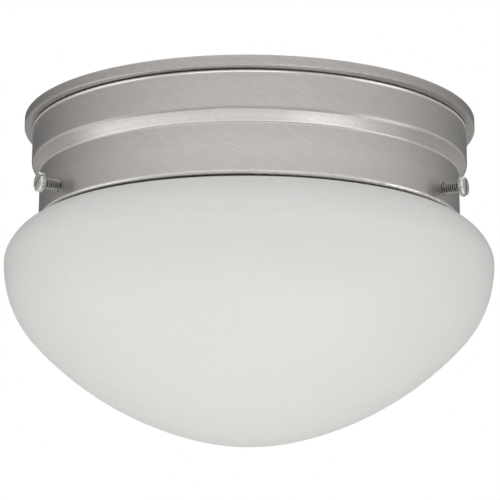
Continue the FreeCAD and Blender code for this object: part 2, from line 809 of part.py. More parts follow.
# ---------------------------------------------------------------- thumbscrews and nuts

THUMBSCREWS = [("thumbscrew_rear", 0), ("thumbscrew_left", 1), ("thumbscrew_right", 2)]


def screw_turn(index):
    return size.screw_first_turn + index * 120


def make_screw_nuts():
    """Three hexagon nuts fixed inside the lower band, one for each thumbscrew."""
    members = []
    for _, index in THUMBSCREWS:
        turn = screw_turn(index)
        nut = doc.addObject("Part::Prism", "Nut")
        nut.Polygon = 6
        nut.setExpression("Circumradius", (size.nut_flats / root(as_size(3))).text)
        nut.setExpression("Height", size.nut_thick.text)
        bore = cylinder(size.screw_shank + size.thread_gap, size.nut_thick * 3)
        facing = turn_about_z(turn.value).multiply(ALONG_X)
        inner = nut_outer - size.nut_thick
        start = inner - size.nut_thick
        place(nut, inner * cosine(turn), inner * sine(turn), -size.screw_depth, facing)
        place(bore, start * cosine(turn), start * sine(turn), -size.screw_depth, facing)
        members.append(cut(nut, bore))
    group("screw_nuts", members)


def make_thumbscrew(label, index):
    """A thumbscrew: chamfered point, threaded shank, knurled head with a slot."""
    body = new_body(label)
    head_end = size.screw_length + size.screw_head_thick
    revolve(
        body,
        [
            (0, 0),
            (size.screw_point_radius, 0),
            (size.screw_shank, size.screw_point),
            (size.screw_shank, size.screw_length),
            (size.screw_head - size.screw_head_edge, size.screw_length),
            (size.screw_head, size.screw_length + size.screw_head_edge),
            (size.screw_head, head_end - size.screw_head_edge),
            (size.screw_head - size.screw_head_edge, head_end),
            (0, head_end),
        ],
    )
    slot = new_sketch(body, "XY_Plane", head_end)
    trace_box(slot, -size.slot_width / 2, size.slot_width / 2, -size.screw_head, size.screw_head)
    pocket(body, slot, depth=size.slot_depth)
    turn = screw_turn(index)
    place(
        body,
        screw_tip * cosine(turn),
        screw_tip * sine(turn),
        -size.screw_depth,
        turn_about_z(turn.value).multiply(ALONG_X),
    )


# ---------------------------------------------------------------- glass shade


def shade_profile(inset):
    """Corners of the bowl from its lowest point out and up to the level shoulder.

    The arcs follow each other without a kink, so each centre lies on the line through the
    joint and the centre before it. An inset draws the inner wall about the same centres.
    """
    lower = [
        (size.belly, -size.belly_turn),
        (size.flank, -size.flank_turn),
    ]
    upper = [
        (size.shoulder_low, size.shoulder_low_turn),
        (size.shoulder_mid, size.shoulder_mid_turn),
        (size.shoulder_top, as_size(90)),
    ]
    corners = []
    x, y = size.glass_radius - size.belly, -size.glass_widest
    for step, (radius, turn) in enumerate(lower):
        reach = radius - inset
        corners.insert(0, (x + reach * cosine(turn), y + reach * sine(turn), reach))
        following = lower[step + 1][0] if step + 1 < len(lower) else radius + x / cosine(turn)
        x = x + (radius - following) * cosine(turn)
        y = y + (radius - following) * sine(turn)
    corners.insert(0, (as_size(0), y - (following - inset), following - inset))
    x, y = size.glass_radius - size.shoulder_low, -size.glass_widest
    corners.append((size.glass_radius - inset, y, size.shoulder_low - inset))
    for step, (radius, turn) in enumerate(upper):
        reach = radius - inset
        corner = (x + reach * cosine(turn), y + reach * sine(turn))
        if step + 1 < len(upper):
            following = upper[step + 1][0]
            x = x + (radius - following) * cosine(turn)
            y = y + (radius - following) * sine(turn)
            corner = corner + (following - inset,)
        corners.append(corner)
    return corners


def reversed_profile(corners):
    """The same arcs walked the other way, so that each bends to the other side."""
    back = []
    for index in range(len(corners) - 1, -1, -1):
        point = corners[index][:2]
        before = corners[index - 1] if index > 0 else ()
        back.append(point + (-before[2],) if len(before) > 2 else point)
    return back


def make_glass_shade():
    """The blown opal bowl: mushroom shoulder, fillet, and a neck that flares to its edge."""
    body = new_body("glass_shade")
    wall = size.glass_wall
    outside = shade_profile(as_size(0))
    inside = shade_profile(wall)
    level = outside[-1][1]
    inner_level = inside[-1][1]
    lip = size.neck_radius + (size.neck_waist - size.neck_top) * size.neck_flare
    neck = [
        (size.neck_radius, level),
        (size.neck_radius, -size.neck_waist),
        (lip, -size.neck_top),
        (lip - wall, -size.neck_top),
        (size.neck_radius - wall, -size.neck_waist),
        (size.neck_radius - wall, inner_level),
    ]
    revolve(body, outside + neck + reversed_profile(inside))
    round_rings(body, [neck[0]], size.neck_fillet)
    round_rings(body, [neck[5]], size.neck_fillet + wall)
    round_rings(body, [neck[2], neck[3]], size.neck_edge)


# ---------------------------------------------------------------- lampholders

SIDES = [("left", -1), ("right", 1)]


def place_on_lamp_axis(piece, side, along):
    """Lay a piece on a lamp's axis, so far from the holder's rear face towards the lamp."""
    rotation = ALONG_X if side < 0 else HALF_TURN.multiply(ALONG_X)
    place(
        piece,
        side * (size.holder_back - along),
        -side * size.lamp_offset,
        -size.lamp_depth,
        rotation,
    )


def make_holder_bracket(name, side):
    """The bent bracket that carries a lampholder, riveted under the plate's flange."""
    body = new_body("holder_bracket_" + name)
    gauge = size.bracket_gauge
    foot_bottom = foot_top - gauge
    lower_end = -size.lamp_depth - size.bracket_below
    profile = new_sketch(body, "XZ_Plane")
    trace(
        profile,
        [
            (0, foot_top),
            (-size.bracket_foot, foot_top),
            (-size.bracket_foot, foot_bottom),
            (-gauge, foot_bottom),
            (-gauge, lower_end),
            (0, lower_end),
        ],
    )
    pad(body, profile, size.bracket_width, both_ways=True)
    across = Vector(0, 1, 0)
    shape = body.Tip.Shape
    outer_bend = edges_along(
        shape, across, lambda m: abs(m.x) < 1e-4 and abs(m.z - foot_top.value) < 1e-4
    )
    round_edges(body, outer_bend, size.bracket_bend)
    shape = body.Tip.Shape
    inner_bend = edges_along(
        shape,
        across,
        lambda m: abs(m.x + gauge.value) < 1e-4 and abs(m.z - foot_bottom.value) < 1e-4,
    )
    round_edges(body, inner_bend, size.bracket_bend - gauge)
    shape = body.Tip.Shape
    lower_corners = edges_along(
        shape, Vector(1, 0, 0), lambda m: abs(m.z - lower_end.value) < 1e-4
    )
    round_edges(body, lower_corners, size.bracket_corner)
    foot_holes = new_sketch(body, "XY_Plane")
    upright_holes = new_sketch(body, "YZ_Plane")
    for spread in (-1, 1):
        hole = size.rivet_shank + size.rivet_gap
        trace_circle(foot_holes, -size.foot_rivet_set, spread * size.foot_rivet_spread, hole)
        trace_circle(
            upright_holes, spread * size.body_rivet_spread / root2(), body_rivet_height(spread), hole
        )
    pocket(body, foot_holes, both_ways=True)
    pocket(body, upright_holes, both_ways=True)
    rotation = Rotation() if side < 0 else HALF_TURN
    place(body, side * size.holder_back, -side * size.lamp_offset, 0, rotation)


def root2():
    return root(as_size(2))


def body_rivet_height(spread):
    """The two body rivets sit on a diagonal of the lampholder."""
    return -size.lamp_depth + spread * size.body_rivet_spread / root2()


def make_holder_body(name, side):
    """The porcelain body: waist, collar, deep bore, rivet holes and lead holes."""
    body = new_body("holder_body_" + name)
    bore = size.shell_inner + size.shell_gauge + size.shell_gap
    cone_top = size.holder_collar + size.holder_cone
    revolve(
        body,
        [
            (0, 0),
            (size.holder_waist, 0),
            (size.holder_waist, size.holder_collar),
            (size.holder_radius, cone_top),
            (size.holder_radius, size.holder_length),
            (bore, size.holder_length),
            (bore, size.holder_floor),
            (0, size.holder_floor),
        ],
    )
    round_rings(
        body,
        [(size.holder_waist, 0), (size.holder_radius, size.holder_length)],
        size.holder_edge,
    )
    rivets = new_sketch(body, "XY_Plane")
    for spread in (-1, 1):
        trace_circle(
            rivets,
            -spread * size.body_rivet_spread / root2(),
            spread * size.body_rivet_spread / root2(),
            size.rivet_shank + size.rivet_gap,
        )
    pocket(body, rivets, both_ways=True)
    entries = new_sketch(body, "YZ_Plane", -size.holder_waist - size.lead_entry)
    for spread in (-1, 1):
        trace_circle(
            entries, spread * size.lead_spread, size.lead_set, size.lead_radius + size.lead_gap
        )
    reach = size.lead_entry * 2 + size.holder_waist - lead_seat()
    pocket(body, entries, forwards=True, depth=reach)
    place_on_lamp_axis(body, side, as_size(0))


def lead_seat():
    """Distance from the lamp's axis at which a lead's end stands in the porcelain."""
    waist, spread = size.holder_waist, size.lead_spread
    return root(waist * waist - spread * spread) - size.lead_entry + size.lead_tail


def make_holder_shell(name, side):
    """The screw shell, with the floor that its rivets hold."""
    body = new_body("holder_shell_" + name)
    outer = size.shell_inner + size.shell_gauge
    floor = size.holder_floor
    mouth = size.holder_length - size.shell_setback
    revolve(
        body,
        [
            (size.shell_window, floor),
            (outer, floor),
            (outer, mouth),
            (size.shell_inner, mouth),
            (size.shell_inner, floor + size.shell_gauge),
            (size.shell_window, floor + size.shell_gauge),
        ],
    )
    rivets = new_sketch(body, "XY_Plane")
    for spread in (-1, 1):
        trace_circle(
            rivets,
            -spread * size.body_rivet_spread / root2(),
            spread * size.body_rivet_spread / root2(),
            size.rivet_shank + size.rivet_gap,
        )
    pocket(body, rivets, both_ways=True)
    place_on_lamp_axis(body, side, as_size(0))


def make_holder_contact(name, side):
    """The centre contact: a brass tongue bowed up from the floor of the lampholder."""
    body = new_body("holder_contact_" + name)
    gauge = size.tongue_gauge
    floor = size.holder_floor
    reach, rise = size.tongue_reach, size.tongue_rise
    crest = size.contact_radius / 2
    profile = new_sketch(body, "YZ_Plane")
    trace(
        profile,
        [
            (-reach, floor),
            (-reach / 2, floor),
            (-crest + gauge, floor + rise - gauge),
            (crest, floor + rise - gauge),
            (crest, floor + rise),
            (-crest, floor + rise),
            (-reach / 2 - gauge, floor + gauge),
            (-reach, floor + gauge),
        ],
    )
    pad(body, profile, size.tongue_width, both_ways=True)
    place_on_lamp_axis(body, side, as_size(0))


def make_rivet(length):
    """A rivet with a head at each end, its underside at zero."""
    head_length = size.rivet_head_height
    lower = cylinder(size.rivet_head, head_length, z=-head_length)
    shank = cylinder(size.rivet_shank, length)
    upper = cylinder(size.rivet_head, head_length, z=length)
    return fuse([lower, shank, upper])


def make_bracket_rivets():
    """Four rivets through the brackets' feet and the plate."""
    members = []
    length = size.bracket_gauge + size.plate_gauge
    for x, y in foot_rivet_places():
        rivet = make_rivet(length)
        place(rivet, x, y, foot_top - size.bracket_gauge, Rotation())
        members.append(rivet)
    group("bracket_rivets", members)


def make_holder_rivets():
    """Four rivets through the brackets, the porcelain and the floors of the shells."""
    members = []
    length = size.bracket_gauge + size.holder_floor + size.shell_gauge
    for _, side in SIDES:
        for spread in (-1, 1):
            rivet = make_rivet(length)
            rotation = ALONG_X if side < 0 else HALF_TURN.multiply(ALONG_X)
            place(
                rivet,
                side * (size.holder_back + size.bracket_gauge),
                -side * (size.lamp_offset + spread * size.body_rivet_spread / root2()),
                body_rivet_height(spread),
                rotation,
            )
            members.append(rivet)
    group("holder_rivets", members)


# ---------------------------------------------------------------- lamps


def make_lamp(name, side):
    """A screw base lamp: bulb, cap, insulator, centre contact, stem and filament."""
    make_lamp_bulb(name, side)
    make_lamp_cap(name, side)
    make_lamp_foot(name, side)
    make_lamp_stem(name, side)
    make_lamp_filament(name, side)


def bulb_corners(inset):
    """Profile of the bulb from its neck to its crown: straight neck, hollow flare, ball."""
    neck = size.bulb_neck - inset
    ball = size.bulb_radius - inset
    flare = size.bulb_flare + inset
    centre_height = size.lamp_length - size.bulb_radius
    flare_x = size.bulb_neck + size.bulb_flare
    span = size.bulb_radius + size.bulb_flare
    fall = root(span * span - flare_x * flare_x)
    flare_height = centre_height - fall
    neck_end = size.cap_length - size.cap_grip
    joint_x = flare_x * ball / span
    joint_y = centre_height - fall * ball / span
    crown = (0, centre_height + ball)
    return [
        (neck, neck_end),
        (neck, flare_height, -flare),
        (joint_x, joint_y, ball),
        crown,
    ]


def make_lamp_bulb(name, side):
    body = new_body("lamp_bulb_" + name)
    revolve(body, bulb_corners(as_size(0)) + reversed_profile(bulb_corners(size.bulb_wall)))
    place_on_lamp_axis(body, side, lamp_tip)


def make_lamp_cap(name, side):
    body = new_body("lamp_cap_" + name)
    gauge = size.cap_gauge
    revolve(
        body,
        [
            (size.insulator_top - gauge * 2, size.cap_bottom),
            (size.insulator_top, size.cap_bottom),
            (size.cap_radius, size.cap_bottom + size.cap_radius - size.insulator_top),
            (size.cap_radius, size.cap_length),
            (size.cap_radius - gauge, size.cap_length),
            (size.cap_radius - gauge, size.cap_bottom + size.cap_radius - size.insulator_top),
            (size.insulator_top - gauge, size.cap_bottom + gauge),
            (size.insulator_top - gauge * 2, size.cap_bottom + gauge),
        ],
    )
    place_on_lamp_axis(body, side, lamp_tip)


def make_lamp_foot(name, side):
    """The glass insulator below the cap, and the soldered contact at its tip."""
    insulator = new_body("lamp_insulator_" + name)
    revolve(
        insulator,
        [
            (0, size.contact_height),
            (size.insulator_foot, size.contact_height),
            (size.insulator_top, size.cap_bottom),
            (0, size.cap_bottom),
        ],
    )
    place_on_lamp_axis(insulator, side, lamp_tip)
    contact = new_body("lamp_contact_" + name)
    revolve(
        contact,
        [
            (0, 0),
            (size.contact_radius / 2, 0),
            (size.contact_radius, size.contact_height / 2),
            (size.contact_radius, size.contact_height),
            (0, size.contact_height),
        ],
    )
    place_on_lamp_axis(contact, side, lamp_tip)


def make_lamp_stem(name, side):
    """The glass stem: a flare in the neck and a tube that carries the wires."""
    body = new_body("lamp_stem_" + name)
    foot = size.cap_length - size.cap_grip
    flare_radius = size.bulb_neck - size.bulb_wall - size.stem_seal
    flare_height = flare_radius - size.stem_radius
    revolve(
        body,
        [
            (0, foot),
            (flare_radius, foot),
            (flare_radius, foot + size.bulb_wall),
            (size.stem_radius, foot + flare_height),
            (size.stem_radius, foot + size.stem_height),
            (0, foot + size.stem_height),
        ],
    )
    place_on_lamp_axis(body, side, lamp_tip)


def make_lamp_filament(name, side):
    """Two support wires that spread from the stem, and the filament between their tips."""
    top = size.cap_length - size.cap_grip + size.stem_height
    members = []
    spread = size.filament_half - size.stem_radius / 2
    run = root(spread * spread + size.wire_height * size.wire_height)
    lean = math.degrees(math.atan2(spread.value, size.wire_height.value))
    for way in (-1, 1):
        members.append(
            cylinder(
                size.wire_radius,
                run,
                y=way * size.stem_radius / 2,
                z=top,
                rotation=Rotation(Vector(1, 0, 0), -way * lean),
            )
        )
    members.append(
        cylinder(
            size.filament_radius,
            size.filament_half * 2,
            y=-size.filament_half,
            z=top + size.wire_height,
            rotation=ALONG_Y,
        )
    )
    filament = fuse(members)
    filament.Label = "lamp_filament_" + name
    pieces.append(filament)
    place_on_lamp_axis(filament, side, lamp_tip)


# ---------------------------------------------------------------- leads


def lead_route(side, way):
    """Points of one lead from its lampholder, along the plate and up into the bushing."""
    x = side * (size.holder_back.value - size.lead_set.value)
    y = -side * (size.lamp_offset.value - way * size.lead_spread.value)
    start = -size.lamp_depth.value + lead_seat().value
    line = lead_line.value
    end_x = side * size.lead_pair.value
    end_y = size.bushing_y.value + way * size.lead_pair.value * side
    end = well_top.value + size.bushing_flange_thick.value
    # Bends along the plate: shares of the lead's distance and of the lamp's offset, and the
    # steps to either side of the pair's middle line in shares of the leads' spread.
    bends = [(0.617, 1.0, 0, -0.5), (0.283, 0.88, 0, -0.4)]
    if side > 0:
        bends = [
            (0.683, -0.636, 0.22, 0.34),
            (0.333, -0.242, 0.32, 0.24),
            (0.233, 0.242, 0.38, 0.14),
            (0.150, 0.606, 0.30, 0.26),
        ]
    spread = way * size.lead_spread.value
    offset = size.lamp_offset.value
    points = [Vector(x, y, start), Vector(x, y, line + size.lead_lift.value)]
    for along, across, step_x, step_y in bends:
        points.append(Vector(along * x + spread * step_x, across * offset + spread * step_y, line))
    points.append(Vector(end_x, end_y, line - size.lead_sag.value))
    points.append(Vector(end_x, end_y, end))
    return points


def lead_path(points):
    """Straight runs joined by tangent arcs as large as the runs allow, with the arcs' radii."""
    edges = []
    radii = []
    start = points[0]
    for before, corner, after in zip(points, points[1:], points[2:]):
        back = (before - corner).normalize()
        onward = (after - corner).normalize()
        turn = math.pi - back.getAngle(onward)
        trim = 0.45 * min((before - corner).Length, (after - corner).Length)
        radius = trim / math.tan(turn / 2)
        middle = (back + onward).normalize()
        centre = corner + middle * (radius / math.cos(turn / 2))
        crest = centre - middle * radius
        entry = corner + back * trim
        leave = corner + onward * trim
        edges.append(Part.LineSegment(start, entry).toShape())
        edges.append(Part.Arc(entry, crest, leave).toShape())
        radii.append(radius)
        start = leave
    edges.append(Part.LineSegment(start, points[-1]).toShape())
    return Part.Wire(edges), radii


def make_lead(label, side, way):
    """One insulated lead as a tube along its route."""
    points = lead_route(side, way)
    path, radii = lead_path(points)
    section = Part.Wire(
        Part.Circle(points[0], (points[1] - points[0]).normalize(), size.lead_radius.value).toShape()
    )
    tube = path.makePipeShell([section], True, False)
    expected = math.pi * size.lead_radius.value**2 * path.Length
    print(
        "%s: length %.1f, radii %s, volume %.4f of section times length"
        % (label, path.Length, [round(r, 1) for r in radii], tube.Volume / expected)
    )
    lead = doc.addObject("Part::Feature", label)
    lead.Label = label
    lead.Shape = tube
    pieces.append(lead)


# ---------------------------------------------------------------- the whole light

make_canopy_ring()
make_canopy_plate()
make_insulation_pad()
make_mounting_strap()
make_mounting_screws()
make_earth_screw()
make_wire_bushing()
make_screw_nuts()
for screw_label, screw_index in THUMBSCREWS:
    make_thumbscrew(screw_label, screw_index)
make_glass_shade()
for side_name, side_sign in SIDES:
    make_holder_bracket(side_name, side_sign)
    make_holder_body(side_name, side_sign)
    make_holder_shell(side_name, side_sign)
    make_holder_contact(side_name, side_sign)
    make_lamp(side_name, side_sign)
    make_lead("lead_live_" + side_name, side_sign, 1)
    make_lead("lead_neutral_" + side_name, side_sign, -1)
make_bracket_rivets()
make_holder_rivets()
doc.recompute()

for item in doc.Objects:
    if "Invalid" in item.State or "Error" in item.State:
        raise RuntimeError("%s (%s) failed" % (item.Name, item.Label))
for piece in pieces:
    if piece.Shape.isNull() or not piece.Shape.isValid():
        raise RuntimeError(piece.Label + " has no valid shape")

os.makedirs("parts", exist_ok=True)
for piece in pieces:
    piece.Shape.exportStep("parts/%s.step" % piece.Label)
    print("%-24s %d solid, %.0f mm3" % (piece.Label, len(piece.Shape.Solids), piece.Shape.Volume))
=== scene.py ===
"""Looks of a flush mount ceiling light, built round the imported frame.

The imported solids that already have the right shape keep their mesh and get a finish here.
Threads, knurls, slots and the fibre mat are modelled new, because the solids leave them plain.
Sizes of pieces are in millimetres; a finished mesh is in metres, where the frame has it.
"""

import logging
import math
from collections.abc import Callable, Iterable
from dataclasses import dataclass, field
from enum import Enum

import bmesh
import bpy
from mathutils import Matrix, Vector, noise


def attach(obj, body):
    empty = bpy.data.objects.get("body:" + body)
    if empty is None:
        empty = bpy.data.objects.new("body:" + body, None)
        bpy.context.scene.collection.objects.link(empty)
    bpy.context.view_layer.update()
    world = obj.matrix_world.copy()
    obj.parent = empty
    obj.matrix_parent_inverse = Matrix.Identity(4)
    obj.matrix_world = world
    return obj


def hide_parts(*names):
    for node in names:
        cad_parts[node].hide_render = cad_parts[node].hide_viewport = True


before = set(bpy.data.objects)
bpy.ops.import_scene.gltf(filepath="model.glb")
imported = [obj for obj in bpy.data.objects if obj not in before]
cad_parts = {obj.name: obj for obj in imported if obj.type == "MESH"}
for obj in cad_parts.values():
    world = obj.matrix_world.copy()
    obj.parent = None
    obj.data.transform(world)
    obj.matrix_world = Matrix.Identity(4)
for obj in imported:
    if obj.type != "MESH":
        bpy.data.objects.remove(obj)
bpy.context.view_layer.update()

MM = 0.001
FULL_TURN = 2 * math.pi
log = logging.getLogger("ceiling_light")

# Names of the numbers that a turned piece keeps at its corners, for its finish to read.
RING_LAYER = "axis_distance"
# The second number is painted shade, dark in slots, knurl grooves and thread roots.
SHADE_LAYER = "painted_shade"
# Corners nearer than this are one corner, in millimetres: on a turned profile, on a thread.
PROFILE_WELD = 0.001
THREAD_WELD = 0.003
# How near to a cutting plane a corner counts as lying in it, in millimetres.
PLANE_REACH = 0.0005
# How near to a height an edge counts as lying at it, in millimetres.
LEVEL = 0.01
# Depth of a cut thread as a share of its pitch.
THREAD_DEPTH = 0.6
# Radius of a screw head's underside, inside its chamfer, as a share of the head's.
UNDERSIDE = 0.92
# Input numbers of the node that mixes two colours, and the number of its colour output.
MIX_SHARE, MIX_FIRST, MIX_SECOND = 0, 6, 7
MIX_COLOUR = 2


# ------------------------------------------------------------------ colour and nodes


def linear(hex_colour: str) -> tuple[float, float, float, float]:
    """Turn an sRGB hex colour into the linear colour that a socket takes.

    Args:
        hex_colour: The colour as "#RRGGBB".

    Returns:
        Red, green and blue in linear light, and full alpha.
    """
    channels = [int(hex_colour[at : at + 2], 16) / 255 for at in (1, 3, 5)]
    # The sRGB curve: a straight line near black, a power above it.
    red, green, blue = (
        c / 12.92 if c <= 0.04045 else ((c + 0.055) / 1.055) ** 2.4 for c in channels
    )
    return red, green, blue, 1.0


def add_node(
    tree: bpy.types.NodeTree,
    kind: str,
    inputs: dict[str | int, object] | None = None,
    **settings: object,
) -> bpy.types.Node:
    """Add a node with its settings, values and links.

    Args:
        tree: The node tree that gets the node.
        kind: The node's type.
        inputs: A value, or another node's output, for each input's name or number.
        **settings: The node's own properties.

    Returns:
        The new node.
    """
    node = tree.nodes.new(kind)
    for name, value in settings.items():
        setattr(node, name, value)
    for name, value in (inputs or {}).items():
        if isinstance(value, bpy.types.NodeSocket):
            tree.links.new(value, node.inputs[name])
        else:
            node.inputs[name].default_value = value
    return node


# ------------------------------------------------------------------ finishes


@dataclass(frozen=True)
class Finish:
    """A surface finish: a colour that drifts with a fine pattern, which also sets gloss and relief.

    Attributes:
        name: What the surface is made of and how it was made.
        slot: The record's material slot; not used.
        colour: The main colour, sRGB hex.
        tint: The colour that the pattern drifts towards, sRGB hex.
        roughness: Mean roughness.
        swing: How far the pattern moves the roughness either way.
        metallic: 1 for bare metal.
        grain: Size of the pattern in millimetres.
        relief: Height of the pattern in millimetres.
        shader: Further sockets of the shader and their values.
        lowest: Pattern value that shows the main colour.
        highest: Pattern value that shows the tint.
    """

    name: str
    slot: str
    colour: str
    tint: str
    roughness: float
    swing: float = 0.04
    metallic: float = 0.0
    grain: float = 0.5
    relief: float = 0.01
    shader: tuple[tuple[str, float], ...] = ()
    lowest: float = 0.3
    highest: float = 0.7

    def pattern(self, tree: bpy.types.NodeTree) -> bpy.types.NodeSocket:
        """Lay an even cloudy grain over the piece.

        Args:
            tree: The material's node tree.

        Returns:
            The pattern as a value from 0 to 1.
        """
        place = add_node(tree, "ShaderNodeTexCoord").outputs["Object"]
        grain = add_node(
            tree,
            "ShaderNodeTexNoise",
            {"Vector": place, "Scale": 1 / (self.grain * MM), "Detail": 3.0},
        )
        return grain.outputs["Fac"]

    def material(self) -> bpy.types.Material:
        """Make the finish's material, or give the one made before.

        Returns:
            The material.
        """
        made = bpy.data.materials.get(self.name)
        if made is not None:
            return made
        made = bpy.data.materials.new(self.name)
        made.use_nodes = True
        tree = made.node_tree
        tree.nodes.clear()
        spread = add_node(
            tree,
            "ShaderNodeMapRange",
            {"Value": self.pattern(tree), "From Min": self.lowest, "From Max": self.highest},
        )
        value = spread.outputs["Result"]
        colour = add_node(
            tree,
            "ShaderNodeMix",
            {MIX_SHARE: value, MIX_FIRST: linear(self.colour), MIX_SECOND: linear(self.tint)},
            data_type="RGBA",
        )
        gloss = add_node(
            tree,
            "ShaderNodeMapRange",
            {
                "Value": value,
                "To Min": self.roughness - self.swing,
                "To Max": self.roughness + self.swing,
            },
        )
        relief = add_node(
            tree, "ShaderNodeBump", {"Height": value, "Distance": self.relief * MM, "Strength": 1.0}
        )
        surface = add_node(
            tree,
            "ShaderNodeBsdfPrincipled",
            {
                "Base Color": colour.outputs[MIX_COLOUR],
                "Metallic": self.metallic,
                "Roughness": gloss.outputs["Result"],
                "Normal": relief.outputs["Normal"],
                **dict(self.shader),
            },
        )
        add_node(tree, "ShaderNodeOutputMaterial", {"Surface": surface.outputs["BSDF"]})
        return made


@dataclass(frozen=True)
class PaintedBand:
    """A level of the sheet painted darker or lighter: painted shade or a painted highlight.

    Attributes:
        height: Its height in millimetres.
        reach: How far above and below it fades out, in millimetres.
        share: What it adds to the pattern: over 0 is painted shade, under 0 is a painted highlight.
    """

    height: float
    reach: float
    share: float


@dataclass(frozen=True)
class BrushedSheet(Finish):
    """Sheet brushed at a slant all the way round, before it was plated.

    Attributes:
        slant: How far the strokes fall to the right, in degrees from the level.
        stroke: Length of a stroke in millimetres; grain is its width.
        radius: Mean radius of the sheet in millimetres.
        painted_bands: Levels of the sheet painted darker or lighter, as painted shade and painted
            highlights along its bends.
    """

    slant: float = 24.0
    stroke: float = 6.5
    radius: float = 104.0
    painted_bands: tuple[PaintedBand, ...] = ()

    def pattern(self, tree: bpy.types.NodeTree) -> bpy.types.NodeSocket:
        """Lay strokes along a helix, so that they close without a seam, and add the painted bands.

        Args:
            tree: The material's node tree.

        Returns:
            The strokes with the painted bands, as one value.
        """
        rise = math.sin(math.radians(self.slant))
        twist = 1 / (self.radius * MM * math.tan(math.radians(self.slant)))
        place = add_node(tree, "ShaderNodeTexCoord").outputs["Object"]
        height = add_node(tree, "ShaderNodeSeparateXYZ", {0: place}).outputs["Z"]
        angle = add_node(tree, "ShaderNodeMath", {0: height, 1: twist}, operation="MULTIPLY")
        turned = add_node(
            tree,
            "ShaderNodeVectorRotate",
            {"Vector": place, "Angle": angle.outputs[0]},
            rotation_type="Z_AXIS",
        )
        across = rise / (self.grain * MM)
        along = 1 / (self.stroke * rise * MM)
        drawn = add_node(
            tree,
            "ShaderNodeMapping",
            {"Vector": turned.outputs[0], "Scale": (across, across, along)},
        )
        strokes = add_node(
            tree,
            "ShaderNodeTexNoise",
            {"Vector": drawn.outputs[0], "Scale": 1.0, "Detail": 4.0, "Roughness": 0.6},
        )
        value = strokes.outputs["Fac"]
        # Painted shade and painted highlights at the sheet's bends, added to the strokes.
        for level in self.painted_bands:
            away = add_node(
                tree, "ShaderNodeMath", {0: height, 1: level.height * MM}, operation="SUBTRACT"
            )
            away = add_node(tree, "ShaderNodeMath", {0: away.outputs[0]}, operation="ABSOLUTE")
            fade = add_node(
                tree,
                "ShaderNodeMapRange",
                {
                    "Value": away.outputs[0],
                    "From Min": 0.0,
                    "From Max": level.reach * MM,
                    "To Min": level.share,
                    "To Max": 0.0,
                },
            )
            value = add_node(
                tree, "ShaderNodeMath", {0: value, 1: fade.outputs["Result"]}, operation="ADD"
            ).outputs[0]
        return value


@dataclass(frozen=True)
class TurnedMetal(Finish):
    """Metal turned on a lathe: fine rings about the piece's own axis, and painted shade in the
    hollows.

    Both are read from the mesh. The tint is the dark colour of the painted shade; the rings take a
    little of it.

    Attributes:
        ring_share: How much of the tint the rings take.
    """

    ring_share: float = 0.16

    def pattern(self, tree: bpy.types.NodeTree) -> bpy.types.NodeSocket:
        """Lay the rings that the tool leaves, and the painted shade in the hollows.

        Args:
            tree: The material's node tree.

        Returns:
            Rings and painted shade as a value from 0 to 1.
        """
        ring = add_node(tree, "ShaderNodeAttribute", attribute_name=RING_LAYER)
        step = add_node(
            tree,
            "ShaderNodeMath",
            {0: ring.outputs["Fac"], 1: 1 / self.grain},
            operation="MULTIPLY",
        )
        rings = add_node(
            tree,
            "ShaderNodeTexNoise",
            {"W": step.outputs[0], "Scale": 1.0, "Detail": 2.0},
            noise_dimensions="1D",
        )
        painted_shade = add_node(tree, "ShaderNodeAttribute", attribute_name=SHADE_LAYER)
        both = add_node(
            tree,
            "ShaderNodeMath",
            {0: rings.outputs["Fac"], 1: self.ring_share, 2: painted_shade.outputs["Fac"]},
            operation="MULTIPLY_ADD",
        )
        return both.outputs[0]


@dataclass(frozen=True)
class FibreMat(Finish):
    """Glass fibre felt: long thin strands that lie across each other.

    Attributes:
        strand: Length of a strand in millimetres; grain is its width.
        lays: Directions of the strands in degrees.
    """

    strand: float = 9.0
    lays: tuple[float, ...] = (12.0, 71.0, -48.0)

    def pattern(self, tree: bpy.types.NodeTree) -> bpy.types.NodeSocket:
        """Lay the strands in several directions, the highest on top.

        Args:
            tree: The material's node tree.

        Returns:
            The strands as a value from 0 to 1.
        """
        place = add_node(tree, "ShaderNodeTexCoord").outputs["Object"]
        top = None
        for lay in self.lays:
            drawn = add_node(
                tree,
                "ShaderNodeMapping",
                {
                    "Vector": place,
                    "Rotation": (0.0, 0.0, math.radians(lay)),
                    "Scale": (1 / (self.strand * MM), 1 / (self.grain * MM), 1 / (self.grain * MM)),
                },
            )
            strands = add_node(
                tree,
                "ShaderNodeTexNoise",
                {"Vector": drawn.outputs[0], "Scale": 1.0, "Detail": 2.0, "Distortion": 0.6},
            ).outputs["Fac"]
            if top is None:
                top = strands
            else:
                top = add_node(
                    tree, "ShaderNodeMath", {0: top, 1: strands}, operation="MAXIMUM"
                ).outputs[0]
        return top


# Brushed nickel plate on drawn steel. The strokes give a soft sheen that slants down to the
# right; they are about 0.1 mm wide, and drawn 0.3 mm wide so that they show. Bright lines along
# the ring's bends are painted highlights, and the darker bands beside them are painted shade.
NICKEL_SHEET = BrushedSheet(
    "satin nickel plate, brushed", "brushed_nickel", "#F4F0EC", "#9F9B98", 0.30,
    swing=0.10, metallic=1.0, grain=0.30, relief=0.008, lowest=-0.78, highest=1.22,
    # Over 0 a band is painted shade, under 0 it is a painted highlight.
    painted_bands=(
        PaintedBand(-2.2, 4.5, 0.25),  # lip
        PaintedBand(-4.7, 0.8, 0.22),  # fold under the lip
        PaintedBand(-6.1, 1.0, -0.95),  # bead
        PaintedBand(-14.5, 9.0, 0.06),  # upper band
        PaintedBand(-22.1, 0.7, -0.35),  # end of the upper band
        PaintedBand(-23.7, 1.2, 0.19),  # bend into the step
        PaintedBand(-27.6, 0.9, -0.6),  # bend out of the step
        PaintedBand(-39.0, 12.0, -0.12),  # lower band
        PaintedBand(-49.8, 0.95, -1.3),  # rim
    ),
)
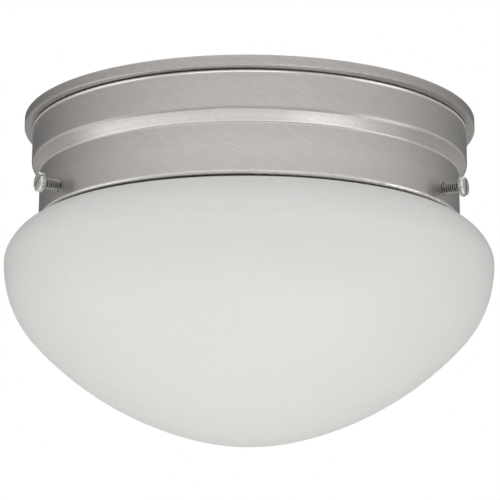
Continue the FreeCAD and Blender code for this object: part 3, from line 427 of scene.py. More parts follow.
# Cased opal glass with an acid etched outside: even, milky, a faint broad sheen.
OPAL_GLASS = Finish(
    "opal glass, acid etched", "opal_glass", "#E0E2DF", "#DCDEDA", 0.42,
    swing=0.05, grain=0.9, relief=0.004,
    shader=(("Subsurface Weight", 0.15), ("Subsurface Scale", 0.003)),
)
# Nickel plated brass, turned: sharper gloss than the sheet, rings on the face, painted shade in the
# hollows.
# The tool's rings are about 0.05 mm apart, and drawn 0.16 mm apart so that they show.
NICKEL_SCREW = TurnedMetal(
    "nickel plate on turned brass", "nickel_screw", "#F6F4F0", "#211F1D", 0.27,
    swing=0.05, metallic=1.0, grain=0.16, relief=0.004, lowest=0.0, highest=1.0,
)
# White reflector enamel, sprayed and baked: a slight orange peel and a dull shine.
WHITE_ENAMEL = Finish(
    "white enamel, sprayed and baked", "white_enamel", "#EDEDEA", "#E4E4E0", 0.34,
    grain=1.6, relief=0.012,
)
# Glass fibre felt, needled: a matt straw yellow with pale strands that lie across each other.
# A strand is about 0.01 mm thick, and drawn 0.35 mm wide so that it shows.
FIBRE_MAT = FibreMat(
    "glass fibre felt, needled", "glass_fibre", "#DCCB95", "#F3EBCB", 0.86,
    swing=0.06, grain=0.35, relief=0.16, shader=(("Sheen Weight", 0.25),),
)
# Zinc plate with a clear passivate: cloudy grey with a cold cast.
ZINC_STEEL = Finish(
    "zinc plated steel, pressed", "zinc_steel", "#B9BCBE", "#9DA1A5", 0.36,
    swing=0.08, metallic=1.0, grain=1.1, relief=0.004,
)
# The same plate over a rolled thread: bright crests, painted shade in the roots, faint rings on the
# head.
ZINC_SCREW = TurnedMetal(
    "zinc plated steel, rolled thread", "zinc_steel", "#C6C7C6", "#3A3935", 0.28,
    swing=0.05, metallic=1.0, grain=0.2, relief=0.004, lowest=0.0, highest=1.0,
)
# Steel dipped in green lacquer: an even strong green under a wet shine.
GREEN_STEEL = Finish(
    "steel with green lacquer, dipped", "green_steel", "#2F8A4C", "#24703C", 0.28,
    grain=1.4, relief=0.008, shader=(("Coat Weight", 0.4),),
)
# Nylon, moulded: nearly black, with a soft gloss that the mould's fine grain breaks up.
BLACK_NYLON = Finish(
    "nylon, moulded black", "black_plastic", "#1D1D1E", "#29292A", 0.46, grain=0.25, relief=0.006
)
# Brass, stamped from sheet: warm yellow, a little cloudy where it has begun to tarnish.
BRASS = Finish(
    "brass, stamped", "brass", "#CDA75A", "#B08C45", 0.28,
    swing=0.07, metallic=1.0, grain=0.8, relief=0.004,
)
# Porcelain, glazed: cream white under a hard clear gloss that waves slowly.
PORCELAIN = Finish(
    "porcelain, glazed white", "porcelain", "#EEEBE2", "#E2DED2", 0.14,
    swing=0.03, grain=5.0, relief=0.03, shader=(("Coat Weight", 0.5),),
)
# Aluminium sheet, rolled to a thread: pale and bright, with small uneven patches.
ALUMINIUM = Finish(
    "aluminium, rolled thread", "shell_aluminium", "#D2D3D4", "#BCBEC0", 0.27,
    swing=0.06, metallic=1.0, grain=0.5, relief=0.003,
)
# Soft PVC insulation, extruded: nearly even, with a waxy shine.
BLACK_PVC = Finish(
    "soft plastic insulation, black", "black_lead", "#222224", "#2C2C2E", 0.38, grain=0.7
)
WHITE_PVC = Finish(
    "soft plastic insulation, white", "white_lead", "#E6E5E0", "#DAD8D1", 0.38, grain=0.7
)
# Lamp glass, frosted on the inside: smooth and glossy outside, milky within.
FROSTED_GLASS = Finish(
    "lamp glass, frosted inside", "frosted_glass", "#F0F0EC", "#E6E6E2", 0.18,
    swing=0.03, grain=2.0, relief=0.006,
    shader=(("Transmission Weight", 0.25), ("Coat Weight", 0.6)),
)
# Black glass, fused into the cap: deep black and almost mirror smooth.
BLACK_GLASS = Finish(
    "black glass, fused", "black_glass", "#16151A", "#242229", 0.12, grain=1.5, relief=0.02
)
# Soft solder, cooled as a drop: grey and lumpy, brighter where it ran smooth.
SOLDER = Finish(
    "soft solder, cooled", "solder", "#B4B3AD", "#8F8E88", 0.33,
    swing=0.09, metallic=1.0, grain=1.0, relief=0.05,
)
# Lead glass, pressed: clear with a cold tint, and slow waves that bend what is behind it.
STEM_GLASS = Finish(
    "lead glass, pressed", "stem_glass", "#E9EEEC", "#DDE6E3", 0.08,
    swing=0.02, grain=3.0, relief=0.02, shader=(("Transmission Weight", 0.85),),
)
# Tungsten wire, coiled: dark grey. The turns are about 0.05 mm apart, and drawn 0.15 mm apart
# as a roughness.
TUNGSTEN = Finish(
    "tungsten wire, coiled", "tungsten", "#6F6E6C", "#545352", 0.4,
    metallic=1.0, grain=0.15, relief=0.02,
)
# Floor paint, rolled on: matt, pale and nearly even.
FLOOR_PAINT = Finish(
    "floor paint, matt", "floor", "#F1F1EF", "#EEEEEC", 0.8, grain=30.0, relief=0.0
)


# ------------------------------------------------------------------ shaping


def corners_of(made: Iterable[object]) -> list[bmesh.types.BMVert]:
    """Pick the vertices out of what an operator made."""
    return [item for item in made if isinstance(item, bmesh.types.BMVert)]


def rounds_of(made: Iterable[object]) -> list[bmesh.types.BMEdge]:
    """Pick the edges out of what an operator made."""
    return [item for item in made if isinstance(item, bmesh.types.BMEdge)]


def profile_line(
    work: bmesh.types.BMesh, points: Iterable[tuple[float, float]]
) -> tuple[list[bmesh.types.BMVert], list[bmesh.types.BMEdge]]:
    """Draw an open profile in the half plane beside the Z axis.

    Args:
        work: The mesh being worked on.
        points: Radius and height of each corner.

    Returns:
        The corners and the edges between them.
    """
    corners = [work.verts.new((radius, 0.0, height)) for radius, height in points]
    lines = [work.edges.new(pair) for pair in zip(corners, corners[1:])]
    return corners, lines


def turn_round(
    work: bmesh.types.BMesh, points: Iterable[tuple[float, float]], steps: int, closed: bool = False
) -> None:
    """Turn a profile all the way round the Z axis and close its poles and seams.

    Args:
        work: The mesh being worked on.
        points: Radius and height of each corner of the profile.
        steps: How many faces go round.
        closed: Whether the profile's last corner joins its first.
    """
    outline = list(points)
    if closed:
        outline.append(outline[0])
    corners, lines = profile_line(work, outline)
    bmesh.ops.spin(
        work,
        geom=corners + lines,
        cent=(0, 0, 0),
        axis=(0, 0, 1),
        angle=FULL_TURN,
        steps=steps,
        use_merge=True,
    )
    bmesh.ops.remove_doubles(work, verts=work.verts[:], dist=PROFILE_WELD)
    bmesh.ops.recalc_face_normals(work, faces=work.faces[:])


def draw_out(
    work: bmesh.types.BMesh, face: bmesh.types.BMFace, rise: float, scale: float
) -> bmesh.types.BMFace:
    """Extrude a face along Z and size it about the axis.

    Args:
        work: The mesh being worked on.
        face: The face to draw out.
        rise: How far it moves.
        scale: How much it grows or shrinks.

    Returns:
        The face at the new end.
    """
    made = bmesh.ops.extrude_face_region(work, geom=[face])["geom"]
    moved = corners_of(made)
    bmesh.ops.translate(work, verts=moved, vec=(0, 0, rise))
    bmesh.ops.scale(work, verts=moved, vec=(scale, scale, 1))
    return next(item for item in made if isinstance(item, bmesh.types.BMFace))


def draw_rings(
    work: bmesh.types.BMesh,
    ring: list[bmesh.types.BMEdge],
    outline: Iterable[tuple[float, float]],
) -> list[bmesh.types.BMEdge]:
    """Extrude an open ring of edges from one true circle to the next.

    Args:
        work: The mesh being worked on.
        ring: The open edges.
        outline: Radius and height of each circle.

    Returns:
        The edges of the last circle.
    """
    for radius, height in outline:
        made = bmesh.ops.extrude_edge_only(work, edges=ring)["geom"]
        for corner in corners_of(made):
            flat = corner.co.xy.normalized() * radius
            corner.co = (flat.x, flat.y, height)
        ring = rounds_of(made)
    return ring


def carve(work: bmesh.types.BMesh, tools: Iterable[bmesh.types.BMesh]) -> bmesh.types.BMesh:
    """Cut tools out of a closed mesh.

    Args:
        work: The mesh to cut; it is freed.
        tools: The closed meshes to take away; they are freed.

    Returns:
        The cut mesh.
    """
    piece = loose_object("carved", work)
    cutters = [loose_object("cutter", tool) for tool in tools]
    for cutter in cutters:
        cut = piece.modifiers.new("cut", "BOOLEAN")
        cut.operation = "DIFFERENCE"
        cut.solver = "EXACT"
        cut.object = cutter
    bpy.context.view_layer.update()
    graph = bpy.context.evaluated_depsgraph_get()
    shape = bpy.data.meshes.new_from_object(piece.evaluated_get(graph))
    result = bmesh.new()
    result.from_mesh(shape)
    for item in [piece, *cutters]:
        bpy.data.meshes.remove(item.data)
    bpy.data.meshes.remove(shape)
    return result


def loose_object(name: str, work: bmesh.types.BMesh) -> bpy.types.Object:
    """Turn a mesh being worked on into an object of the scene.

    Args:
        name: The object's name.
        work: The mesh being worked on; it is freed.

    Returns:
        The object, which rides on nothing yet.
    """
    mesh = bpy.data.meshes.new(name)
    work.to_mesh(mesh)
    work.free()
    item = bpy.data.objects.new(name, mesh)
    bpy.context.scene.collection.objects.link(item)
    return item


def mark(work: bmesh.types.BMesh, name: str, value: Callable[[Vector], float]) -> None:
    """Keep a number at each corner for the finish to read.

    Args:
        work: The mesh being worked on.
        name: The number's name.
        value: Gives the number for a place; it is kept between 0 and 1 unless it is a distance.
    """
    layer = work.verts.layers.float.get(name) or work.verts.layers.float.new(name)
    for corner in work.verts:
        number = value(corner.co)
        corner[layer] = number if name == RING_LAYER else min(max(number, 0.0), 1.0)


def join(work: bmesh.types.BMesh, other: bmesh.types.BMesh) -> None:
    """Add another mesh to the one being worked on.

    Args:
        work: The mesh being worked on.
        other: The mesh to add; it is freed.
    """
    shape = bpy.data.meshes.new("joined")
    other.to_mesh(shape)
    other.free()
    work.from_mesh(shape)
    bpy.data.meshes.remove(shape)


def finish_piece(
    name: str,
    work: bmesh.types.BMesh,
    place: Matrix,
    finish: Finish,
    body: str,
    nodes: Iterable[str],
    crease: float = 32.0,
) -> bpy.types.Object:
    """Put a finished shape in its place, dress it and hang it on its body.

    Args:
        name: The piece's name.
        work: The shape in millimetres; it is freed.
        place: Where the shape goes, in millimetres.
        finish: Its finish.
        body: The moving body that carries it.
        nodes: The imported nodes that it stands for.
        crease: Angle in degrees from which an edge stays sharp.

    Returns:
        The piece.
    """
    bmesh.ops.transform(work, matrix=Matrix.Scale(MM, 4) @ place, verts=work.verts[:])
    for face in work.faces:
        face.smooth = True
    piece = loose_object(name, work)
    piece.data.set_sharp_from_angle(angle=math.radians(crease))
    piece.data.materials.append(finish.material())
    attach(piece, body)
    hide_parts(*nodes)
    log.info("%s: %d faces, %s, rides on %s", name, len(piece.data.polygons), finish.name, body)
    return piece


def dress(node: str, finish: Finish) -> None:
    """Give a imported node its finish.

    Args:
        node: The node's name.
        finish: The finish that its material slots take.
    """
    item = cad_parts[node]
    for slot in item.material_slots:
        slot.link = "OBJECT"
        slot.material = finish.material()
    log.info("%s: kept, %s", node, finish.name)


# ------------------------------------------------------------------ threads


class ThreadForm(Enum):
    """One pitch of a thread: share of the pitch and share of the depth at each corner."""

    CUT = ((0.0, 0.0), (0.12, 0.0), (0.44, 1.0), (0.56, 1.0), (0.88, 0.0))
    ROLLED = tuple((step / 8, (1 - math.cos(FULL_TURN * step / 8)) / 2) for step in range(8))


@dataclass(frozen=True)
class Thread:
    """A screw thread about the Z axis.

    Attributes:
        root: Least radius.
        crest: Greatest radius.
        pitch: Distance from turn to turn.
        form: Shape of one pitch.
        sides: Faces in one turn.
        lead_in: How many turns are swept below the lower end and then cut off.
    """

    root: float
    crest: float
    pitch: float
    form: ThreadForm
    sides: int = 40
    lead_in: float = 1.5

    def sweep(self, bottom: float, top: float) -> bmesh.types.BMesh:
        """Sweep one pitch along the helix and cut the ends level.

        Args:
            bottom: Height of the lower end.
            top: Height of the upper end.

        Returns:
            The open threaded surface.
        """
        work = bmesh.new()
        start = bottom - self.lead_in * self.pitch
        turns = math.ceil((top - start) / self.pitch) + 1
        shares = [*self.form.value, (1.0, 0.0)]
        corners, lines = profile_line(
            work,
            [
                (self.root + depth * (self.crest - self.root), start + share * self.pitch)
                for share, depth in shares
            ],
        )
        bmesh.ops.spin(
            work,
            geom=corners + lines,
            cent=(0, 0, 0),
            axis=(0, 0, 1),
            dvec=(0, 0, self.pitch / self.sides),
            angle=FULL_TURN * turns,
            steps=self.sides * turns,
            use_merge=False,
        )
        bmesh.ops.remove_doubles(work, verts=work.verts[:], dist=THREAD_WELD)
        for height, below in ((bottom, True), (top, False)):
            bmesh.ops.bisect_plane(
                work,
                geom=work.verts[:] + work.edges[:] + work.faces[:],
                dist=PLANE_REACH,
                plane_co=(0, 0, height),
                plane_no=(0, 0, 1),
                clear_inner=below,
                clear_outer=not below,
            )
        return work


def open_ring(work: bmesh.types.BMesh, height: float) -> list[bmesh.types.BMEdge]:
    """Find the open edges at one height.

    Args:
        work: The mesh being worked on.
        height: The height of the ring.

    Returns:
        Its edges.
    """
    return [
        line
        for line in work.edges
        if line.is_boundary and all(abs(end.co.z - height) < LEVEL for end in line.verts)
    ]


# ------------------------------------------------------------------ screws


class Head(Enum):
    """Shape of a screw's head."""

    KNURLED = "knurled"
    PAN = "pan"


@dataclass
class Screw:
    """A slotted screw along Z, from its tip at zero to the outside of its head.

    Attributes:
        head: Shape of the head.
        shank: Radius over the thread.
        length: Length under the head.
        head_radius: Radius of the head.
        head_height: Height of the head.
        point: Length of the chamfered point.
        point_radius: Radius of the flat tip.
        slot_width: Width of the slot.
        slot_depth: Depth of the slot.
        slot_turn: Direction of the slot in degrees, from the level.
        ridges: Ridges of the knurl.
        groove: Depth of the grooves between them.
        round_sides: Faces round a head that isn't knurled.
        pitch: Pitch of the thread; 24 turns to the inch unless it is given.
        buried: How far the shank goes on inside the head.
    """

    head: Head
    shank: float = 2.4
    length: float = 14.0
    head_radius: float = 4.6
    head_height: float = 2.6
    point: float = 0.9
    point_radius: float = 1.5
    slot_width: float = 1.1
    slot_depth: float = 1.1
    slot_turn: float = 0.0
    ridges: int = 36
    groove: float = 0.32
    round_sides: int = 72
    pitch: float = 25.4 / 24
    buried: float = 0.2

    @property
    def root(self) -> float:
        """Give the radius at the foot of the thread."""
        return self.shank - THREAD_DEPTH * self.pitch

    @property
    def slot_floor(self) -> float:
        """Give the height of the slot's floor."""
        return self.length + self.head_height - self.slot_depth

    def shaft(self) -> bmesh.types.BMesh:
        """Model the threaded shank and its chamfered point.

        Returns:
            The closed shank.
        """
        thread = Thread(self.root, self.shank, self.pitch, ThreadForm.CUT)
        top = self.length + self.buried
        work = thread.sweep(self.point, top)
        tip = draw_rings(work, open_ring(work, self.point), [(self.point_radius, 0.0)])
        bmesh.ops.contextual_create(work, geom=tip)
        bmesh.ops.contextual_create(work, geom=open_ring(work, top))
        bmesh.ops.recalc_face_normals(work, faces=work.faces[:])
        return work

    def head_steps(self) -> list[tuple[float, float]]:
        """Give the head's outline, from its underside up.

        Returns:
            Rise of each step, and what the radius is multiplied by.
        """
        if self.head is Head.KNURLED:
            chamfer = 0.35
            crown = [(0.3, 0.95), (0.15, 0.95), (0.12, 0.75), (0.08, 0.5)]
            chamfer_and_crown = 1.0  # the sum of their rises
            wall = self.head_height - chamfer_and_crown
            return [(chamfer, 1 / UNDERSIDE), (wall, 1.0), *crown]
        chamfer = 0.1
        dome = [(0.42, 1.0), (0.2, 0.96), (0.14, 0.9), (0.11, 0.8), (0.06, 0.6)]
        return [(chamfer, 1 / UNDERSIDE), *((self.head_height * up, scale) for up, scale in dome)]

    def blank(self) -> bmesh.types.BMesh:
        """Model the head without its slot.

        Returns:
            The closed head.
        """
        work = bmesh.new()
        knurled = self.head is Head.KNURLED
        sides = self.ridges * 3 if knurled else self.round_sides
        made = bmesh.ops.create_circle(work, cap_ends=True, segments=sides, radius=self.head_radius)
        if knurled:
            grooves = made["verts"][::3]
            depth = 1 - self.groove / self.head_radius
            bmesh.ops.scale(work, verts=grooves, vec=(depth, depth, 1))
        bmesh.ops.scale(work, verts=made["verts"], vec=(UNDERSIDE, UNDERSIDE, 1))
        bmesh.ops.translate(work, verts=made["verts"], vec=(0, 0, self.length))
        face = work.faces[:][0]
        if face.normal.z < 0:
            face.normal_flip()
        for rise, scale in self.head_steps():
            face = draw_out(work, face, rise, scale)
        bmesh.ops.recalc_face_normals(work, faces=work.faces[:])
        return work

    def slot_tool(self) -> bmesh.types.BMesh:
        """Model the saw that cuts the slot.

        Returns:
            A closed block.
        """
        work = bmesh.new()
        tall = 4.0
        made = bmesh.ops.create_cube(work, size=1.0)["verts"]
        bmesh.ops.scale(work, verts=made, vec=(self.slot_width, self.head_radius * 3, tall))
        middle = self.slot_floor + tall / 2
        turn = Matrix.Rotation(math.radians(self.slot_turn), 4, "Z")
        bmesh.ops.transform(work, verts=made, matrix=Matrix.Translation((0, 0, middle)) @ turn)
        return work

    def model(self) -> bmesh.types.BMesh:
        """Model the whole screw.

        Returns:
            Shank and slotted head in one mesh.
        """
        rise_share = 0.35  # lets the rings go on down the sides of head and shank
        work = carve(self.blank(), [self.slot_tool()])
        # Painted shade in the slot, the knurl's grooves and the thread's roots.
        mark(work, SHADE_LAYER, self.head_shade)
        shaft = self.shaft()
        mark(shaft, SHADE_LAYER, self.thread_shade)
        join(work, shaft)
        mark(work, RING_LAYER, lambda spot: spot.xy.length + rise_share * spot.z)
        return work

    def head_shade(self, spot: Vector) -> float:
        """Tell how dark the painted shade is in the slot and in the grooves of the knurl.

        Args:
            spot: A place of the head.

        Returns:
            0 where no shade is painted, 1 where it is darkest.
        """
        in_slot, in_groove = 1.0, 0.75
        crest, floor_reach = 0.1, 0.02
        if spot.xy.length >= self.head_radius - crest:
            return 0.0
        if abs(spot.z - self.slot_floor) < floor_reach:
            return in_slot
        if self.head is Head.KNURLED and self.length + LEVEL < spot.z < self.slot_floor:
            return in_groove
        return 0.0

    def thread_shade(self, spot: Vector) -> float:
        """Tell how dark the painted shade is in the thread.

        Args:
            spot: A place of the shank.

        Returns:
            0 at the crest, and the most at the foot.
        """
        at_foot = 0.9
        depth = THREAD_DEPTH * self.pitch
        return at_foot - at_foot * (spot.xy.length - self.root) / depth


@dataclass
class Thumbscrews:
    """The three thumbscrews that hold the glass by its neck.

    Attributes:
        depth: Depth of their axes.
        tip_radius: Where their tips stand.
        places: Direction and slot of each, in degrees.
    """

    depth: float = 43.4
    tip_radius: float = 96.2
    places: dict[str, tuple[float, float]] = field(
        default_factory=lambda: {
            "rear": (90.0, 20.0),
            "left": (210.0, 32.0),
            "right": (330.0, 84.0),
        }
    )

    def build(self) -> None:
        """Model the three screws and hang each on its own body."""
        for name, (direction, slot_turn) in self.places.items():
            screw = Screw(Head.KNURLED, slot_turn=slot_turn)
            turn = math.radians(direction)
            tip = (self.tip_radius * math.cos(turn), self.tip_radius * math.sin(turn), -self.depth)
            lie = Matrix.Rotation(turn, 4, "Z") @ Matrix.Rotation(math.radians(90), 4, "Y")
            finish_piece(
                f"thumbscrew_{name}_knurled",
                screw.model(),
                Matrix.Translation(tip) @ lie,
                NICKEL_SCREW,
                f"thumbscrew_{name}",
                [f"thumbscrew_{name}"],
            )


# ------------------------------------------------------------------ canopy


@dataclass
class Canopy:
    """Ring, plate, strap, bushing and fastenings, with the fibre mat under the ceiling.

    Attributes:
        mat_inner: Inner radius of the mat.
        mat_outer: Outer radius of the mat.
        mat_bottom: Height of the mat's underside.
        mat_thick: Thickness of the mat.
        relief_radius: Radius of the holes over the rivet heads.
        relief_places: Where the holes are.
        screw_pitch: Distance between the mounting screws.
        screw_length: Length of a mounting screw under its head.
        screw_tip: Height of their tips, just under the ceiling plane.
        kept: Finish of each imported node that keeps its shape.
    """

    mat_inner: float = 61.0
    mat_outer: float = 104.0
    mat_bottom: float = -3.6
    mat_thick: float = 3.4
    relief_radius: float = 4.5
    relief_places: tuple[tuple[float, float], ...] = ((-78, 27), (-78, 39), (78, -27), (78, -39))
    screw_pitch: float = 60.0
    screw_length: float = 11.0
    screw_tip: float = -0.01
    kept: dict[str, Finish] = field(
        default_factory=lambda: {
            "canopy_ring": NICKEL_SHEET,
            "canopy_plate": WHITE_ENAMEL,
            "mounting_strap": ZINC_STEEL,
            "earth_screw": GREEN_STEEL,
            "wire_bushing": BLACK_NYLON,
            "screw_nuts": ZINC_STEEL,
            "bracket_rivets": ZINC_STEEL,
            "holder_rivets": BRASS,
        }
    )

    def mat_outline(self) -> list[tuple[float, float]]:
        """Give the mat's cross section, with soft edges and enough corners to sag.

        Returns:
            Radius and height of each corner.
        """
        soft, blunt = 1.1, 0.3
        rows = 16
        low, high = self.mat_bottom, self.mat_bottom + self.mat_thick
        inner, outer = self.mat_inner, self.mat_outer
        run = [inner + soft + (outer - inner - 2 * soft) * step / rows for step in range(rows + 1)]
        under = [(radius, low) for radius in run]
        over = [(radius, high) for radius in reversed(run)]
        out_edge = [
            (outer - blunt, low + blunt),
            (outer, low + soft),
            (outer, high - soft),
            (outer - blunt, high - blunt),
        ]
        in_edge = [
            (inner + blunt, high - blunt),
            (inner, high - soft),
            (inner, low + soft),
            (inner + blunt, low + blunt),
        ]
        return under + out_edge + over + in_edge

    def cut_mat(self) -> bmesh.types.BMesh:
        """Model the mat as it was cut, with its holes over the rivet heads.

        Returns:
            The closed mat.
        """
        work = bmesh.new()
        turn_round(work, self.mat_outline(), steps=160, closed=True)
        tools = []
        for x, y in self.relief_places:
            tool = bmesh.new()
            bmesh.ops.create_cone(
                tool,
                cap_ends=True,
                segments=28,
                radius1=self.relief_radius,
                radius2=self.relief_radius,
                depth=12.0,
                matrix=Matrix.Translation((x, y, self.mat_bottom)),
            )
            tools.append(tool)
        return carve(work, tools)

    def build_mat(self) -> None:
        """Model the mat: felt that is a little thinner here and there, with frayed rims."""
        lumps, tufts = 0.11, 0.55  # to the millimetre
        aside = Vector((7, 3, 1))
        sunk, pitted = 0.16, 0.06
        frayed = 0.6
        work = self.cut_mat()
        middle = self.mat_bottom + self.mat_thick / 2
        for corner in work.verts:
            spot = corner.co
            loft = 0.5 + 0.5 * noise.noise(spot * lumps)
            fray = 0.5 + 0.5 * noise.noise(spot * tufts + aside)
            spot.z += (middle - spot.z) * (sunk * loft + pitted * fray)
            reach = spot.xy.length
            if reach > self.mat_outer - frayed:
                spot.xy *= 1 - frayed * fray / reach
            elif reach < self.mat_inner + frayed:
                spot.xy *= 1 + frayed * fray / reach
        bmesh.ops.recalc_face_normals(work, faces=work.faces[:])
        mat = finish_piece(
            "fibre_mat",
            work,
            Matrix.Identity(4),
            FIBRE_MAT,
            "canopy",
            ["insulation_pad"],
            crease=60.0,
        )

    def build_mounting_screws(self) -> None:
        """Model the two screws that carry the plate, heads down."""
        both = bmesh.new()
        flip = Matrix.Rotation(math.pi, 4, "X")
        for side in (-1, 1):
            screw = Screw(
                Head.PAN,
                shank=2.05,
                pitch=25.4 / 32,
                length=self.screw_length,
                head_radius=4.0,
                head_height=2.3,
                point=0.5,
                point_radius=1.6,
                slot_turn=90.0 + 25.0 * side,
            )
            work = screw.model()
            place = Matrix.Translation((side * self.screw_pitch / 2, 0, self.screw_tip)) @ flip
            bmesh.ops.transform(work, matrix=place, verts=work.verts[:])
            join(both, work)
        finish_piece(
            "mounting_screws_slotted",
            both,
            Matrix.Identity(4),
            ZINC_SCREW,
            "canopy",
            ["mounting_screws"],
        )

    def build(self) -> None:
        """Dress what is kept and model the rest."""
        for node, finish in self.kept.items():
            dress(node, finish)
        self.build_mat()
        self.build_mounting_screws()


# ------------------------------------------------------------------ lampholders and lamps


class Side(Enum):
    """The two lamps: the left one points to +X, and the right one is its half turn about Z."""

    LEFT = "left"
    RIGHT = "right"

    def axis(
        self, along: float, back: float = 68.0, offset: float = 33.0, depth: float = 47.0
    ) -> Matrix:
        """Give the place of a piece on the lamp's axis.

        Args:
            along: Distance from the lampholder's rear face towards the lamp.
            back: Distance of that face from the middle.
            offset: Distance of the axis from the middle.
            depth: Depth of the axis.

        Returns:
            The place, in millimetres.
        """
        lie = Matrix.Rotation(math.radians(90), 4, "Y")
        left = Matrix.Translation((along - back, offset, -depth)) @ lie
        half = Matrix.Rotation(math.pi, 4, "Z") if self is Side.RIGHT else Matrix.Identity(4)
        return half @ left


@dataclass
class Lampholder:
    """One porcelain lampholder on its bracket, with a rolled screw shell.

    Attributes:
        side: Which of the two it is.
        floor: Height of the shell's floor over the rear face.
        mouth: Height of the shell's mouth.
        window: Radius of the hole in its floor.
        gauge: Thickness of its sheet.
        thread: The rolled thread, 7 turns to the inch, as its inner face has it.
    """

    side: Side
    floor: float = 7.0
    mouth: float = 31.0
    window: float = 7.6
    gauge: float = 0.3
    thread: Thread = Thread(13.35, 13.9, 25.4 / 7, ThreadForm.ROLLED, sides=56)

    def model_shell(self) -> bmesh.types.BMesh:
        """Model the shell: rolled wall, plain mouth, and a floor with its window.

        Returns:
            The shell with the thickness of its sheet.
        """
        root = self.thread.root
        low, high = self.floor + 2.0, self.mouth - 1.6
        inner_floor = self.floor + self.gauge
        work = self.thread.sweep(low, high)
        collar = [(root + 0.25, high + 0.5), (root + 0.25, self.mouth)]
        draw_rings(work, open_ring(work, high), collar)
        foot = [
            (root + 0.2, self.floor + 1.0),
            (root - 0.5, inner_floor),
            (self.window, inner_floor),
        ]
        draw_rings(work, open_ring(work, low), foot)
        bmesh.ops.recalc_face_normals(work, faces=work.faces[:])
        # The wall grows behind its faces, so they have to look at the axis.
        outward = sum(
            face.normal.dot(Vector((*face.calc_center_median().xy, 0))) for face in work.faces
        )
        if outward > 0:
            bmesh.ops.reverse_faces(work, faces=work.faces[:])
        bmesh.ops.solidify(work, geom=work.faces[:], thickness=self.gauge)
        return work

    def build(self) -> None:
        """Dress the body, bracket and contact, and model the shell."""
        name = self.side.value
        dress(f"holder_body_{name}", PORCELAIN)
        dress(f"holder_bracket_{name}", ZINC_STEEL)
        dress(f"holder_contact_{name}", BRASS)
        finish_piece(
            f"holder_shell_{name}_rolled",
            self.model_shell(),
            self.side.axis(0.0),
            ALUMINIUM,
            "canopy",
            [f"holder_shell_{name}"],
        )


@dataclass
class Lamp:
    """One screw base lamp.

    Attributes:
        side: Which of the two it is.
        tip: Distance of its tip from the lampholder's rear face.
        cap_bottom: Height of the cap's lower end over the tip.
        cap_length: Height of the cap's upper edge over the tip.
        foot: Height of the cap's tapered foot.
        skirt: Height of its plain skirt.
        insulator: Radius of the insulator at the cap.
        thread: The rolled thread of the cap, 7 turns to the inch.
    """

    side: Side
    tip: float = 11.3
    cap_bottom: float = 4.2
    cap_length: float = 25.5
    foot: float = 3.2
    skirt: float = 5.5
    insulator: float = 10.4
    thread: Thread = Thread(12.35, 13.1, 25.4 / 7, ThreadForm.ROLLED, sides=56)

    def model_cap(self) -> bmesh.types.BMesh:
        """Model the cap: tapered foot, rolled thread, and a plain skirt round the glass.

        Returns:
            The cap, open towards the bulb.
        """
        root, crest, top = self.thread.root, self.thread.crest, self.cap_length
        low, high = self.cap_bottom + self.foot, top - self.skirt
        work = self.thread.sweep(low, high)
        foot = [
            (root - 0.2, low - 0.8),
            (self.insulator, self.cap_bottom),
            (self.insulator - 1.0, self.cap_bottom + 0.2),
        ]
        draw_rings(work, open_ring(work, low), foot)
        skirt = [
            (root + 0.1, high + 0.6),
            (crest - 0.1, high + 1.3),
            (crest - 0.1, top - 0.6),
            (crest, top - 0.3),
            (crest - 0.3, top),
            (crest - 0.6, top),
            (crest - 0.65, high + 1.3),
        ]
        draw_rings(work, open_ring(work, high), skirt)
        bmesh.ops.recalc_face_normals(work, faces=work.faces[:])
        return work

    def build(self) -> None:
        """Dress glass, stem, filament and foot, and model the cap."""
        name = self.side.value
        dress(f"lamp_bulb_{name}", FROSTED_GLASS)
        dress(f"lamp_insulator_{name}", BLACK_GLASS)
        dress(f"lamp_contact_{name}", SOLDER)
        dress(f"lamp_stem_{name}", STEM_GLASS)
        dress(f"lamp_filament_{name}", TUNGSTEN)
        finish_piece(
            f"lamp_cap_{name}_rolled",
            self.model_cap(),
            self.side.axis(self.tip),
            ALUMINIUM,
            f"lamp_{name}",
            [f"lamp_cap_{name}"],
        )


@dataclass
class Leads:
    """The four leads from the lampholders to the bushing.

    Attributes:
        black: The live leads, with black insulation.
        white: The neutral leads, with white insulation.
    """

    black: tuple[str, ...] = ("lead_live_left", "lead_live_right")
    white: tuple[str, ...] = ("lead_neutral_left", "lead_neutral_right")

    def build(self) -> None:
        """Give each lead its insulation's finish."""
        for node in self.black:
            dress(node, BLACK_PVC)
        for node in self.white:
            dress(node, WHITE_PVC)


@dataclass
class Shade:
    """The blown opal bowl.

    Attributes:
        node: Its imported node.
    """

    node: str = "glass_shade"

    def build(self) -> None:
        """Give the glass its finish."""
        dress(self.node, OPAL_GLASS)


# ------------------------------------------------------------------ studio


@dataclass(frozen=True)
class Softbox:
    """A soft light.

    Attributes:
        name: The lamp's name.
        place: Where it stands, in metres.
        target: What it faces, in metres.
        side: Length of its side in metres.
        power: Its power in watts.
        other_side: Length of its upright side, where that differs.
    """

    name: str
    place: tuple[float, float, float]
    target: tuple[float, float, float]
    side: float
    power: float
    other_side: float | None = None

    def build(self) -> None:
        """Hang the light and turn it to its target."""
        data = bpy.data.lights.new(self.name, "AREA")
        data.shape = "RECTANGLE"
        data.size = self.side
        data.size_y = self.other_side or self.side
        data.energy = self.power
        item = bpy.data.objects.new(self.name, data)
        item.location = self.place
        aim = Vector(self.target) - Vector(self.place)
        item.rotation_euler = aim.to_track_quat("-Z", "Y").to_euler()
        item.visible_camera = False
        bpy.context.scene.collection.objects.link(item)


